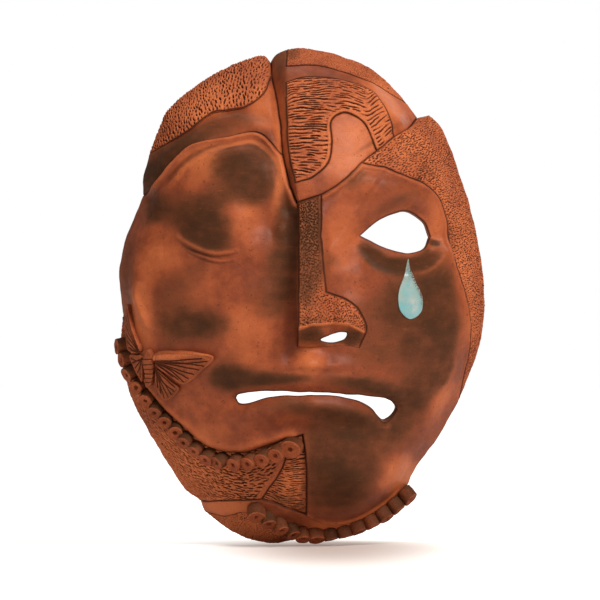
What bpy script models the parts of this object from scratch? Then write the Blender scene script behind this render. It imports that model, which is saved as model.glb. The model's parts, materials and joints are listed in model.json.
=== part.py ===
"""Terracotta wall mask: a sleeping left half and an open-eyed right half, built up from clay slabs.

Lengths are millimetres until an object is made, which is where they become metres.
The face looks along -Y with +Z up, and the wall is the plane y = 0. Shapes are drawn about the middle
of the mask, where x = 0 is the nose's left side and z = 0 is half the height. placed() then moves them
so that the frame's origin is on the flat back rim, at the top.

The slabs lie on one dome. A place on it is drawn as (x, z), as seen from the front, and point_at()
lifts it to the dome, at a height along a direction that all slabs share. Two slabs that meet
on one drawn curve therefore meet on one ruled wall, whatever their heights are.
"""

import math

import bmesh
import bpy
import numpy as np
from mathutils import Matrix, Vector
from mathutils.geometry import delaunay_2d_cdt

# Driving dimensions, in millimetres and degrees
FRAME_ORIGIN = (0.0, 0.0, 141.5)
DOME_DEPTH = 56.0
RIM_SLOPE = 74.0
RIM_SLOPE_LEFT_EXTRA = 9.0
CLAY = 6.5
JOINT_GAP = 0.4
SEAT_GAP = 0.45
FRONT_PITCH = 5.2
BACK_PITCH = 9.0
EDGE_PITCH = 4.2
NOSE_HEIGHT = 19.0
HALF_STEP = 6.0
RIM_SHARE = 0.998
RELIEF_FADES = (0.86, 0.995)
BACK_FOLLOWS = 0.85
NOSE_BACK_FOLLOWS = 0.55
EYE_HOLLOW, EYE_HOLLOW_REACH = 4.5, 4.5
MOUTH_HOLLOW, MOUTH_HOLLOW_REACH = 1.5, 2.5
TEAR_POCKET = 1.4
TEAR_SEAT = 1.0
SMALL_PITCH = 3.0
SHARP_ANGLE = 35.0

JAW_RINGS = 17
CHIN_RINGS = 13
RING_RADIUS = 4.0
RING_LENGTH = 5.2
RING_HOLE_RADIUS = 1.1
RING_HOLE_DEPTH = 3.2
RING_SEGMENTS = 12
RING_OFFSET = 6.0
RING_GAP = 0.25

LUG_X = 30.0
LUG_Z = 80.0
LUG_RADIUS = 6.0
LUG_WIDTH = 8.0
LUG_STAND_OFF = 7.5
LUG_HOLE_RADIUS = 2.0
LUG_FOOT_GAP = 1.5
LUG_FOOT_SPREAD = 1.5
WIRE_RADIUS = 1.2
WIRE_HEAD_RADIUS = 2.4
WIRE_PAST_LUG = 2.0
WIRE_BESIDE_LUG = 3.5
WIRE_RISE = 38.0
WIRE_WALL_CLEARANCE = 5.0

# Drawn curves, each a smooth line through a few (x, z) points. Curves meet at their end points.
TOP_NOTCH = (-16, 136.5)
HAIR_TOP = (-15.3, 128)
BROW_MEETS_GROOVE = (-8.9, 81)
NOSE_TOP_LEFT = (-0.5, 54)
NOSE_TOP_RIGHT = (13.5, 58.5)
NOSE_WING_TOP = (16.5, 2)
NOSE_WING_FOOT = (35.5, -30)
NOSE_FOOT_LEFT = (0, -29)
CROWN_LEFT_RIM = (-6.7, 143.4)
CROWN_LEFT = (-6.7, 130.5)
CROWN_RIGHT_RIM = (64, 112)
COMB_LEFT_TOP = (-6.8, 120.5)
COMB_LEFT_FOOT = (-1.5, 65.3)
COMB_RIGHT_TOP = (54, 89)
COMB_RIGHT_FOOT = (44.5, 82)
PLATE_CORNER = (69.5, 104)
TEMPLE_START = (36, 75.5)
TEMPLE_END = (93.5, -61.5)
CHIN_RIGHT = (64.5, -109)
CHIN_LEFT_TOP = (3, -80)
CHIN_LEFT_FOOT = (5, -125.5)
RIBBON_FOOT = (1, -141.5)
CHIN_SLAB_LEFT = (-54.5, -125.5)
RIBBON_LEFT = (-57, -119.5)
WEDGE_TOP = (-5, -82)
WEDGE_FOOT = (-21, -117.5)
JAW_LEFT = (-102, -10.5)
FACE_TOP_LEFT = (-90, 58.5)
BROW_LEFT = (-86.5, 82.5)

CURVES = {
    "rim_hair": [
        BROW_LEFT, (-77, 106), (-62.5, 120.5), (-45, 131.5), (-28, 138.5), (-19.5, 139.8), TOP_NOTCH,
    ],
    "rim_groove": [TOP_NOTCH, (-13.5, 140.5), CROWN_LEFT_RIM],
    "rim_crown": [CROWN_LEFT_RIM, (1, 144.5), (24.5, 140), (44.5, 131.5), CROWN_RIGHT_RIM],
    "rim_forehead": [CROWN_RIGHT_RIM, PLATE_CORNER],
    "rim_corner": [PLATE_CORNER, (76.5, 105.8)],
    "rim_temple": [(76.5, 105.8), (83, 99), (94, 72), (104, 37), (109, -5), (105, -32), TEMPLE_END],
    "rim_cheek": [TEMPLE_END, (82.5, -81), (68, -101.5), CHIN_RIGHT],
    "rim_ribbon": [CHIN_RIGHT, (57, -121), (39, -135.5), (15.5, -142.5), RIBBON_FOOT],
    "rim_chin": [RIBBON_FOOT, (-16, -144), (-36.5, -138), CHIN_SLAB_LEFT],
    "rim_ribbon_left": [CHIN_SLAB_LEFT, RIBBON_LEFT],
    "rim_jaw": [RIBBON_LEFT, (-66.5, -111), (-77, -95), (-88.5, -76), (-97.5, -57), (-103, -35), JAW_LEFT],
    "rim_face": [JAW_LEFT, (-103.5, 3.5), (-104, 16), (-100, 34), FACE_TOP_LEFT],
    "rim_brow": [FACE_TOP_LEFT, (-90, 68), BROW_LEFT],
    "groove_hair": [TOP_NOTCH, HAIR_TOP],
    "groove_brow": [HAIR_TOP, (-12.3, 114), (-9.8, 97), BROW_MEETS_GROOVE],
    "groove_face": [BROW_MEETS_GROOVE, (-5.2, 65), NOSE_TOP_LEFT],
    "hairline": [BROW_LEFT, (-74, 89.5), (-62.5, 96.5), (-50, 105.5), (-31, 109.5), (-20, 117), HAIR_TOP],
    "brow_ridge": [
        FACE_TOP_LEFT, (-80, 65.5), (-71.5, 76), (-62, 85.5), (-42.5, 91), (-22, 93.5), BROW_MEETS_GROOVE,
    ],
    "nose_top": [NOSE_TOP_LEFT, NOSE_TOP_RIGHT],
    "plate_edge_low": [NOSE_TOP_RIGHT, (24.5, 65), TEMPLE_START],
    "plate_edge_tongue": [TEMPLE_START, COMB_RIGHT_FOOT],
    "plate_edge_comb": [COMB_RIGHT_FOOT, COMB_RIGHT_TOP],
    "plate_edge_top": [COMB_RIGHT_TOP, (61.5, 94), PLATE_CORNER],
    "temple_line": [
        TEMPLE_START, (56.5, 69.5), (76.5, 58.5), (84.5, 44), (86, 30), (92, 12), (98, -8), (99, -30),
        TEMPLE_END,
    ],
    "nose_left": [NOSE_TOP_LEFT, (0, 30), (0, 0), NOSE_FOOT_LEFT],
    "nose_side": [NOSE_TOP_RIGHT, (13.5, 32), NOSE_WING_TOP],
    "nose_wing": [NOSE_WING_TOP, (31.5, -4.5), (39.5, -18), NOSE_WING_FOOT],
    "nose_foot": [NOSE_FOOT_LEFT, (13, -29.5), (25, -28.5), NOSE_WING_FOOT],
    "crown_left": [CROWN_LEFT_RIM, CROWN_LEFT],
    "crown_line": [CROWN_LEFT, (13, 130.5), (30, 125.5), (50.5, 118.5), CROWN_RIGHT_RIM],
    "comb_top": [COMB_LEFT_TOP, (1, 123), (16, 123), (41, 115), (51, 100), COMB_RIGHT_TOP],
    "comb_left": [COMB_LEFT_TOP, (-6.2, 98), (-4.8, 79), COMB_LEFT_FOOT],
    "tongue": [
        COMB_LEFT_FOOT, (8, 68.5), (17, 76), (19.5, 87.5), (19, 99), (26, 103.5), (37, 97.5), COMB_RIGHT_FOOT,
    ],
    "jaw_edge": [
        JAW_LEFT, (-99, -22.5), (-92, -42), (-80, -60.5), (-65, -75.5), (-49.5, -87), (-33.5, -90),
        (-17.5, -86), WEDGE_TOP,
    ],
    "jaw_edge_end": [WEDGE_TOP, CHIN_LEFT_TOP],
    "chin_left": [CHIN_LEFT_TOP, (4.7, -95), CHIN_LEFT_FOOT],
    "chin_foot": [CHIN_LEFT_FOOT, (15, -131), (30, -131), (46, -123.5), CHIN_RIGHT],
    "wedge_left": [WEDGE_TOP, (-9, -99), WEDGE_FOOT],
    "jaw_foot": [WEDGE_FOOT, (-42.5, -118.5), RIBBON_LEFT],
    "wedge_foot": [WEDGE_FOOT, (-9, -121.5), CHIN_LEFT_FOOT],
    "ribbon_foot": [CHIN_SLAB_LEFT, (-42, -127.5), (-30.5, -125), (-20, -129.5), (-11, -137), RIBBON_FOOT],
}
RIM_ORDER = [
    "rim_groove", "rim_crown", "rim_forehead", "rim_corner", "rim_temple", "rim_cheek", "rim_ribbon",
    "rim_chin", "rim_ribbon_left", "rim_jaw", "rim_face", "rim_brow", "rim_hair",
]

# Each slab: its boundary curves in order, a leading "-" running one backwards, and its height step.
SLABS = {
    "face_shell": (
        ["rim_face", "brow_ridge", "groove_face", "nose_left", "nose_foot", "-nose_wing", "-nose_side",
         "plate_edge_low", "temple_line", "rim_cheek", "-chin_foot", "-chin_left", "-jaw_edge_end",
         "-jaw_edge"],
        2.6,
    ),
    "nose": (["nose_left", "nose_foot", "-nose_wing", "-nose_side", "-nose_top"], 2.6),
    "temple_band": (
        ["plate_edge_tongue", "plate_edge_comb", "plate_edge_top", "rim_corner", "rim_temple", "-temple_line"],
        2.3,
    ),
    "forehead_slab": (
        ["rim_groove", "crown_left", "crown_line", "rim_forehead", "-plate_edge_top", "-comb_top", "comb_left",
         "tongue", "-plate_edge_tongue", "-plate_edge_low", "-nose_top", "-groove_face", "-groove_brow",
         "-groove_hair"],
        0.0,
    ),
    "crown_band": (["rim_crown", "-crown_line", "-crown_left"], 0.7),
    "comb_panel": (["comb_top", "-plate_edge_comb", "-tongue", "-comb_left"], 0.3),
    "hair_panel": (["rim_hair", "groove_hair", "-hairline"], 1.0),
    "brow_band": (["rim_brow", "hairline", "groove_brow", "-brow_ridge"], 0.0),
    "jaw_slab": (["rim_jaw", "jaw_edge", "wedge_left", "jaw_foot"], 0.6),
    "comb_wedge": (["jaw_edge_end", "chin_left", "-wedge_foot", "-wedge_left"], 0.0),
    "ribbon": (
        ["rim_ribbon_left", "-jaw_foot", "wedge_foot", "chin_foot", "rim_ribbon", "-ribbon_foot"],
        1.4,
    ),
    "chin_slab": (["ribbon_foot", "rim_chin"], 0.4),
}

EYE_HOLE = [(36.5, 35.5), (47, 44), (62, 48.5), (73, 43), (77, 35), (73, 27.5), (62, 25), (47, 29.5)]
MOUTH_TOP = [(-35, -58.5), (-31, -56.3), (-16, -55), (12, -55.7), (42, -58), (54, -60.5)]
MOUTH_FOOT = [
    (54, -60.5), (57.5, -65.5), (50, -72.5), (42, -64.5), (29, -58.8), (1, -57.2), (-17, -58.7),
    (-30.5, -62.2), (-35, -58.5),
]
NOSTRIL = [(13, -25.2), (20, -22), (28.5, -21.3), (27, -24.6), (19, -26.6)]
TEAR = [
    (63.3, 21.5), (61, 14), (57.8, 3), (58.7, -8.5), (65.3, -13), (72, -8.5), (72.3, -0.5), (67.5, 8.5),
    (64.6, 15),
]

# The butterfly's pieces: thickness and outline
BUTTERFLY = {
    "body": (
        3.0,
        [(-82.4, -29.5), (-80.6, -33), (-80.8, -42), (-82, -50), (-84, -50.5), (-84.8, -44), (-84.8, -34)],
    ),
    "forewing_right": (
        2.2,
        [(-79.3, -31.8), (-57, -32.3), (-48.5, -35.4), (-53, -41.5), (-65, -50), (-72, -45), (-79, -38.5)],
    ),
    "hindwing_right": (
        1.8,
        [(-79.2, -40.8), (-73, -46.8), (-67, -52.5), (-70.8, -57.5), (-75.4, -59), (-78.4, -54), (-79.8, -47)],
    ),
    "forewing_left": (
        2.2,
        [(-86.8, -31), (-88.4, -22.5), (-95, -4.5), (-97, -13), (-96.5, -23), (-94.5, -30.5)],
    ),
    "hindwing_left": (
        1.8,
        [(-86.8, -33.3), (-93.8, -33), (-92, -38.5), (-89.6, -44), (-87.4, -47.8), (-86.4, -41)],
    ),
}

# The line that the chin's ring row stands on
CHIN_RING_PATH = [(-24, -123), (-12, -130), (4, -136), (24, -136.5), (40, -130.5), (53, -121), (60, -114)]

# Soft swellings and hollows of the face: height, centre x and z, reach across and up, turn in degrees
SWELLINGS = [
    (6.5, -36, 68, 42, 24, 0),
    (5.5, -51, 43, 24, 19, 0),
    (-5.5, -19, 45, 15, 15, 0),
    (7.5, -52, -10, 38, 32, 0),
    (2.5, -88, -8, 7, 26, 8),
    (5.5, 4, -46, 48, 24, 0),
    (-2.5, -40, -58, 9, 8, 0),
    (-3.0, 61, -66, 10, 9, 0),
    (4.5, -36, -77, 22, 11, 0),
    (-3.0, 0, -78, 30, 6, 0),
    (8.5, 30, -104, 25, 21, 0),
    (4.5, 60, -18, 30, 30, 0),
    (-3.0, 33, 28, 12, 16, 0),
    (4.5, 52, 62, 30, 9, -12),
    (-3.0, -10, 100, 3.5, 42, 5),
    (2.5, 30, 100, 34, 30, 0),
    (-2.5, -48, 97, 32, 5, 14),
]

# The right half of the brow stands over the left. Its side wall runs between these two lines, x at z.
WALL_Z = (54, 65, 79, 97, 114, 131, 143)
WALL_FOOT_X = (-0.5, -5.2, -8.8, -9.8, -12.3, -15.2, -16)
WALL_HEAD_X = (0.8, -1.5, -4.8, -6.2, -6.8, -6.7, -6.7)

CLAY_COLOUR = (0.40, 0.135, 0.062)
SMOKED_COLOUR = (0.12, 0.055, 0.035)
GLAZE_COLOUR = (0.30, 0.56, 0.55)
STEEL_COLOUR = (0.55, 0.55, 0.54)


def smooth_line(points, pitch):
    """A smooth line through the points, as places about one pitch apart. Both ends are kept."""
    p = np.array(points, float)
    if len(p) == 2:
        count = max(1, round(np.linalg.norm(p[1] - p[0]) / pitch))
        return p[0] + np.linspace(0, 1, count + 1)[:, None] * (p[1] - p[0])
    closed = np.allclose(p[0], p[-1])
    before = p[-2] if closed else 2 * p[0] - p[1]
    after = p[1] if closed else 2 * p[-1] - p[-2]
    q = np.vstack([before, p, after])
    knots = np.concatenate([[0], np.cumsum(np.sqrt(np.linalg.norm(np.diff(q, axis=0), axis=1)))])
    dense = []
    for i in range(1, len(q) - 2):
        t = np.linspace(knots[i], knots[i + 1], 24, endpoint=False)[:, None]
        dense.append(catmull_rom(q[i - 1:i + 3], knots[i - 1:i + 3], t))
    dense = np.vstack(dense + [p[-1:]])
    along = np.concatenate([[0], np.cumsum(np.linalg.norm(np.diff(dense, axis=0), axis=1))])
    count = max(2, round(along[-1] / pitch))
    even = np.linspace(0, along[-1], count + 1)
    return np.column_stack([np.interp(even, along, dense[:, k]) for k in (0, 1)])


def catmull_rom(p, k, t):
    """Places at knots t on the span between the two middle points of four."""
    a = [(p[i] * (k[i + 1] - t) + p[i + 1] * (t - k[i])) / (k[i + 1] - k[i]) for i in range(3)]
    b = [(a[i] * (k[i + 2] - t) + a[i + 1] * (t - k[i])) / (k[i + 2] - k[i]) for i in range(2)]
    return (b[0] * (k[2] - t) + b[1] * (t - k[1])) / (k[2] - k[1])


def chained(names, pitch=EDGE_PITCH):
    """One closed loop from named curves, without its repeated end point."""
    parts = []
    for name in names:
        line = smooth_line(CURVES[name.lstrip("-")], pitch)
        parts.append((line[::-1] if name.startswith("-") else line)[:-1])
    return np.vstack(parts)


def rim_table():
    """The rim's angles, ascending, and its radius at each."""
    rim = chained(RIM_ORDER, 2.0)
    angles = np.arctan2(rim[:, 1], rim[:, 0])
    order = np.argsort(angles)
    return angles[order], np.hypot(rim[:, 0], rim[:, 1])[order]


RIM_ANGLES, RIM_RADII = rim_table()


def rim_at(xz):
    """For each place: its angle about the middle, the rim's radius there and the dome's slope at the rim."""
    angle = np.arctan2(xz[:, 1], xz[:, 0])
    radius = np.interp(angle, RIM_ANGLES, RIM_RADII, period=2 * math.pi)
    slope = np.radians(RIM_SLOPE - RIM_SLOPE_LEFT_EXTRA * np.cos(angle))
    return angle, radius, slope


def flattened(xz):
    """The drawn places unrolled from the dome, so that distances near the rim come out about true."""
    angle, radius, slope = rim_at(xz)
    share = np.clip(np.hypot(xz[:, 0], xz[:, 1]) / radius, 0, 1)
    reach = radius * np.arcsin(share * np.sin(slope)) / np.sin(slope)
    return np.column_stack([np.cos(angle), np.sin(angle)]) * reach[:, None]


def drawn(flat):
    """The inverse of flattened()."""
    angle, radius, slope = rim_at(flat)
    turn = np.clip(np.hypot(flat[:, 0], flat[:, 1]) * np.sin(slope) / radius, 0, slope)
    reach = radius * np.sin(turn) / np.sin(slope)
    return np.column_stack([np.cos(angle), np.sin(angle)]) * reach[:, None]


def eased(low, high, value):
    t = np.clip((value - low) / (high - low), 0, 1)
    return t * t * (3 - 2 * t)


def point_at(xz, height):
    """Places at a height over the dome. None goes past the wall plane, and the rim lies in it."""
    angle, radius, slope = rim_at(xz)
    share = np.clip(np.hypot(xz[:, 0], xz[:, 1]) / radius, 0, 1)
    turn = np.arcsin(share * np.sin(slope))
    depth = -DOME_DEPTH * (np.cos(turn) - np.cos(slope)) / (1 - np.cos(slope))
    steepness = DOME_DEPTH / radius * np.tan(turn) * np.sin(slope) / (1 - np.cos(slope))
    lean = steepness * eased(0.4, 1.0, share)
    length = np.sqrt(1 + lean * lean)
    out = np.column_stack([np.cos(angle) * lean, -np.ones(len(xz)), np.sin(angle) * lean]) / length[:, None]
    place = np.column_stack([xz[:, 0], depth, xz[:, 1]]) + out * np.asarray(height)[:, None]
    place[:, 1] = np.where(share > RIM_SHARE, 0, np.minimum(place[:, 1], 0))
    return place


def swell(x, z, height, cx, cz, rx, rz, turn):
    """A soft hill, at full height in its middle."""
    c, s = math.cos(math.radians(turn)), math.sin(math.radians(turn))
    across = ((x - cx) * c + (z - cz) * s) / rx
    up = ((z - cz) * c - (x - cx) * s) / rz
    return height * np.exp(-across * across - up * up)


def distance_to(loop, xz):
    """How far each place is from a closed line."""
    start, step = loop, np.roll(loop, -1, axis=0) - loop
    away = xz[:, None, :] - start[None]
    t = np.clip((away * step).sum(2) / np.maximum((step * step).sum(1), 1e-12), 0, 1)
    return np.sqrt(((away - t[..., None] * step) ** 2).sum(2).min(1))


def inside(loop, xz):
    """Which places lie inside a closed line."""
    x, z = xz[:, 0:1], xz[:, 1:2]
    ax, az = loop[:, 0], loop[:, 1]
    bx, bz = np.roll(ax, -1), np.roll(az, -1)
    spans = (az > z) != (bz > z)
    with np.errstate(divide="ignore", invalid="ignore"):
        crossing = ax + (z - az) * (bx - ax) / (bz - az)
    return (spans & (x < crossing)).sum(1) % 2 == 1


def nose_mass(x, z):
    """The half nose: a ridge that grows towards its tip, and its one wing."""
    grown = np.clip((58 - z) / 73, 0, 1) ** 1.15
    under = eased(-29, -16, z)
    ridge = NOSE_HEIGHT * grown * (1 - eased(8, 21, x))
    wing = 9.5 * np.exp(-((x - 27) / 11.5) ** 2 - ((z + 14) / 11) ** 2)
    return (ridge + wing) * under


def half_step(x, z):
    """The rise from the left half of the brow to the right half, gone below the nose."""
    foot = np.interp(z, WALL_Z, WALL_FOOT_X)
    head = np.interp(z, WALL_Z, WALL_HEAD_X)
    return HALF_STEP * eased(0, 1, (x - foot) / (head - foot)) * eased(-28, 15, z) * (1 - eased(40, 95, x))


def lips(x, z):
    """Lips either side of the mouth line, over the muzzle's own swelling."""
    line = -56.4 - np.where(x > 5, 0.004, 0.002) * (x - 5) ** 2
    above = z - line
    width = np.exp(-((x - 6) / 42) ** 4)
    upper = 3.6 * eased(0, 13, above) * (1 - eased(15, 26, above))
    lower = 3.6 * np.exp(-((above + 7.5) / 5) ** 2)
    return (upper + lower) * width


def relief(name, xz):
    """The sculpted height of a slab's face at each place, over the dome and before its step."""
    x, z = xz[:, 0], xz[:, 1]
    height = sum(swell(x, z, *row) for row in SWELLINGS) + lips(x, z) + half_step(x, z)
    if name == "nose":
        height = height + nose_mass(x, z)
    elif name == "face_shell":
        height = height + nose_mass(x, z) * eased(4, 12, x)
    return height * fade_at_rim(xz)


def fade_at_rim(xz):
    _, radius, _ = rim_at(xz)
    return 1 - eased(*RELIEF_FADES, np.hypot(xz[:, 0], xz[:, 1]) / radius)


EYE_LOOP = smooth_line(EYE_HOLE + EYE_HOLE[:1], EDGE_PITCH)[:-1]
MOUTH_LOOP = np.vstack([smooth_line(MOUTH_TOP, EDGE_PITCH)[:-1], smooth_line(MOUTH_FOOT, EDGE_PITCH)[:-1]])
NOSTRIL_LOOP = smooth_line(NOSTRIL + NOSTRIL[:1], SMALL_PITCH)[:-1]
TEAR_LOOP = smooth_line(TEAR + TEAR[:1], SMALL_PITCH)[:-1]
HOLES = {"face_shell": [EYE_LOOP, MOUTH_LOOP], "nose": [NOSTRIL_LOOP]}


def front_height(name, xz):
    """Height of a slab's front over the dome."""
    height = SLABS[name][1] * fade_at_rim(xz) + relief(name, xz)
    if name == "face_shell":
        height = height - EYE_HOLLOW * np.exp(-(distance_to(EYE_LOOP, xz) / EYE_HOLLOW_REACH) ** 2)
        height = height - MOUTH_HOLLOW * np.exp(-(distance_to(MOUTH_LOOP, xz) / MOUTH_HOLLOW_REACH) ** 2)
    return height


def back_height(name, xz):
    """Height of a slab's back, which follows the front loosely, as a slab pressed by hand does."""
    x, z = xz[:, 0], xz[:, 1]
    loose = BACK_FOLLOWS * sum(swell(x, z, *row) for row in SWELLINGS if row[0] > 4) + half_step(x, z)
    hollow = NOSE_BACK_FOLLOWS * nose_mass(x, z)
    if name == "nose":
        loose = loose + hollow
    elif name == "face_shell":
        loose = loose + hollow * eased(4, 12, x)
    return loose * fade_at_rim(xz) - CLAY


def surface(name, xz, over=0.0):
    """Places on a slab's front, or over it along the dome's direction."""
    return point_at(xz, front_height(name, xz) + over)


def outward(name, xz):
    """The slab front's own outward direction at each place."""
    step = 1.0
    across = surface(name, xz + [step, 0]) - surface(name, xz - [step, 0])
    up = surface(name, xz + [0, step]) - surface(name, xz - [0, step])
    n = np.cross(across, up)
    return n / np.linalg.norm(n, axis=1)[:, None]


def signed_area(loop):
    ax, az = loop[:, 0], loop[:, 1]
    return 0.5 * (ax * np.roll(az, -1) - np.roll(ax, -1) * az).sum()


def inset(loop, amount):
    """The closed line moved towards its left-hand side."""
    ahead = np.roll(loop, -1, axis=0) - loop
    ahead /= np.linalg.norm(ahead, axis=1)[:, None]
    side = np.column_stack([-ahead[:, 1], ahead[:, 0]])
    corner = side + np.roll(side, 1, axis=0)
    share = np.maximum((corner * corner).sum(1) / 2, 0.5)
    return loop + corner / share[:, None] * amount


def filled(loops, pitch):
    """Triangles between the loops, on the loops' own points and a staggered grid inside them."""
    low, high = loops[0].min(0), loops[0].max(0)
    rows = np.arange(low[1], high[1], pitch * math.sqrt(0.75))
    columns = np.arange(low[0], high[0], pitch)
    grid = np.vstack([np.column_stack([columns + pitch / 2 * (k % 2), np.full(len(columns), z)])
                      for k, z in enumerate(rows)])
    keep = inside(loops[0], grid)
    for hole in loops[1:]:
        keep &= ~inside(hole, grid)
    grid = grid[keep]
    if len(grid):
        clear = np.min([distance_to(loop, grid) for loop in loops], axis=0)
        grid = grid[clear > 0.55 * pitch]
    edges, first = [], 0
    for loop in loops:
        count = len(loop)
        edges += [(first + i, first + (i + 1) % count) for i in range(count)]
        first += count
    points = np.vstack(loops + [grid])
    made = delaunay_2d_cdt([Vector(p) for p in points], edges, [], 0, 1e-7)
    triangles = np.array(made[2])
    middle = points[triangles].mean(1)
    keep = inside(loops[0], middle)
    for hole in loops[1:]:
        keep &= ~inside(hole, middle)
    triangles = triangles[keep]
    a, b, c = (points[triangles[:, k]] for k in range(3))
    turned = (b[:, 0] - a[:, 0]) * (c[:, 1] - a[:, 1]) - (b[:, 1] - a[:, 1]) * (c[:, 0] - a[:, 0]) < 0
    triangles[turned] = triangles[turned][:, ::-1]
    return points, triangles


def material(name, colour, roughness, metallic=0.0):
    made = bpy.data.materials.new(name)
    made.use_nodes = True
    shader = made.node_tree.nodes["Principled BSDF"]
    shader.inputs["Base Color"].default_value = (*colour, 1)
    shader.inputs["Roughness"].default_value = roughness
    shader.inputs["Metallic"].default_value = metallic
    return made


def placed(point):
    """A drawn place in the object's own frame, in metres."""
    return (Vector(point) - Vector(FRAME_ORIGIN)) * 0.001


def add_object(name, points, faces, colour, roughness=0.6, metallic=0.0, origin=(0, 0, 0)):
    """An object from points in millimetres, with its origin at a place in millimetres."""
    mesh = bpy.data.meshes.new(name)
    local = (np.asarray(points, float) - origin) * 0.001
    mesh.from_pydata(local.tolist(), [], [list(map(int, f)) for f in faces])
    mesh.materials.append(material(name, colour, roughness, metallic))
    made = bpy.data.objects.new(name, mesh)
    made.location = placed(origin)
    bpy.context.scene.collection.objects.link(made)
    mesh.shade_smooth()
    mesh.set_sharp_from_angle(angle=math.radians(SHARP_ANGLE))
    return made


def add_slab(name, loops, front, back, colour,
             gap=JOINT_GAP / 2, front_pitch=FRONT_PITCH, back_pitch=BACK_PITCH):
    """A closed slab between two surfaces, over the drawn loops. The first loop is its outline.

    Each length of wall is creased towards the rim, so that the walls of two neighbours nest."""
    loops = [loop if (signed_area(loop) > 0) == (k == 0) else loop[::-1] for k, loop in enumerate(loops)]
    flat = [inset(flattened(loop), gap) for loop in loops]
    front_points, front_faces = filled(flat, front_pitch)
    back_points, back_faces = filled(flat, back_pitch)
    offset = len(front_points)
    points = np.vstack([front(drawn(front_points)), back(drawn(back_points))])
    faces = [list(t) for t in front_faces] + [list(t[::-1] + offset) for t in back_faces]
    first = 0
    for loop in flat:
        count = len(loop)
        _, radius, _ = rim_at(loop)
        outwardness = np.hypot(loop[:, 0], loop[:, 1]) / radius
        for i in range(count):
            j = (i + 1) % count
            a, b = first + i, first + j
            if outwardness[i] < outwardness[j]:
                faces += [[a, a + offset, b + offset], [a, b + offset, b]]
            else:
                faces += [[a, a + offset, b], [a + offset, b + offset, b]]
        first += count
    return add_object(name, points, faces, colour)


def add_body_slabs():
    for name, (names, _) in SLABS.items():
        add_slab(
            name,
            [chained(names)] + HOLES.get(name, []),
            lambda xz, slab=name: surface(slab, xz),
            lambda xz, slab=name: point_at(xz, back_height(slab, xz)),
            SMOKED_COLOUR if name == "brow_band" else CLAY_COLOUR,
        )


def add_tear(face):
    """A glazed drop let into a shallow pocket under the open eye."""
    pocket = add_slab(
        "tear_pocket", [TEAR_LOOP],
        lambda xz: surface("face_shell", xz, 4.0),
        lambda xz: surface("face_shell", xz, -TEAR_POCKET),
        CLAY_COLOUR, gap=-0.35, front_pitch=4, back_pitch=4,
    )
    pocket.hide_render = True
    pocket.display_type = "WIRE"
    cut = face.modifiers.new("tear pocket", "BOOLEAN")
    cut.operation = "DIFFERENCE"
    cut.object = pocket

    def crowned(xz):
        near_edge = distance_to(TEAR_LOOP, xz)
        return surface("face_shell", xz, 0.2 + 1.3 * eased(0, 5, near_edge))

    add_slab("tear", [TEAR_LOOP], crowned, lambda xz: surface("face_shell", xz, -TEAR_SEAT),
             GLAZE_COLOUR, gap=0.0, front_pitch=3.5, back_pitch=4)


def add_on_face(name, outline, thickness, pitch=3.6):
    """A flat piece of clay laid on the face shell."""
    loop = smooth_line(outline + outline[:1], pitch)[:-1]
    add_slab(
        name, [loop],
        lambda xz: surface("face_shell", xz, SEAT_GAP + thickness * eased(-1.2, 2.5, distance_to(loop, xz))),
        lambda xz: surface("face_shell", xz, SEAT_GAP),
        CLAY_COLOUR, gap=0.15, front_pitch=pitch, back_pitch=pitch * 1.3,
    )


def add_butterfly():
    """A butterfly on the left cheekbone, in five pieces: a body and two pairs of wings."""
    for name, (thickness, outline) in BUTTERFLY.items():
        add_on_face("butterfly_" + name, outline, thickness)


def ring_profile(radius, length):
    """Half the section of a ring, from the middle of its seat to the bottom of its blind hole."""
    hole, lip = RING_HOLE_RADIUS, 0.6
    return [
        (0, 0), (radius, 0), (radius, length - lip), (radius - lip, length),
        (hole, length), (hole * 0.8, length - RING_HOLE_DEPTH), (0, length - RING_HOLE_DEPTH),
    ]


def add_ring(name, seat, axis, radius, length):
    """One pierced pellet of clay: its half section spun about its own axis, then stood on its seat."""
    work = bmesh.new()
    corners = [work.verts.new((r, 0, h)) for r, h in ring_profile(radius, length)]
    section = [work.edges.new(pair) for pair in zip(corners, corners[1:])]
    bmesh.ops.spin(work, geom=corners + section, axis=(0, 0, 1), cent=(0, 0, 0),
                   angle=math.tau, steps=RING_SEGMENTS, use_merge=True)
    bmesh.ops.remove_doubles(work, verts=work.verts, dist=1e-4)
    bmesh.ops.recalc_face_normals(work, faces=work.faces)
    turn = Vector(axis).to_track_quat("Z", "Y").to_matrix().to_4x4()
    work.transform(Matrix.Translation(Vector(seat)) @ turn)
    work.verts.index_update()
    points = np.array([v.co for v in work.verts])
    faces = [[v.index for v in f.verts] for f in work.faces]
    work.free()
    return add_object(name, points, faces, CLAY_COLOUR, origin=seat)


def seat_height(name, centre, axis):
    """How far along its axis a ring must stand so that the slab under it stays clear."""
    angle = np.linspace(0, math.tau, 16, endpoint=False)
    under = [centre]
    for share in (0.5, 1.0, 1.15):
        under.append(centre + RING_RADIUS * share * np.column_stack([np.cos(angle), np.sin(angle)]))
    places = surface(name, np.vstack([u.reshape(-1, 2) for u in under]))
    return ((places - places[0]) @ axis).max()


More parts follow.
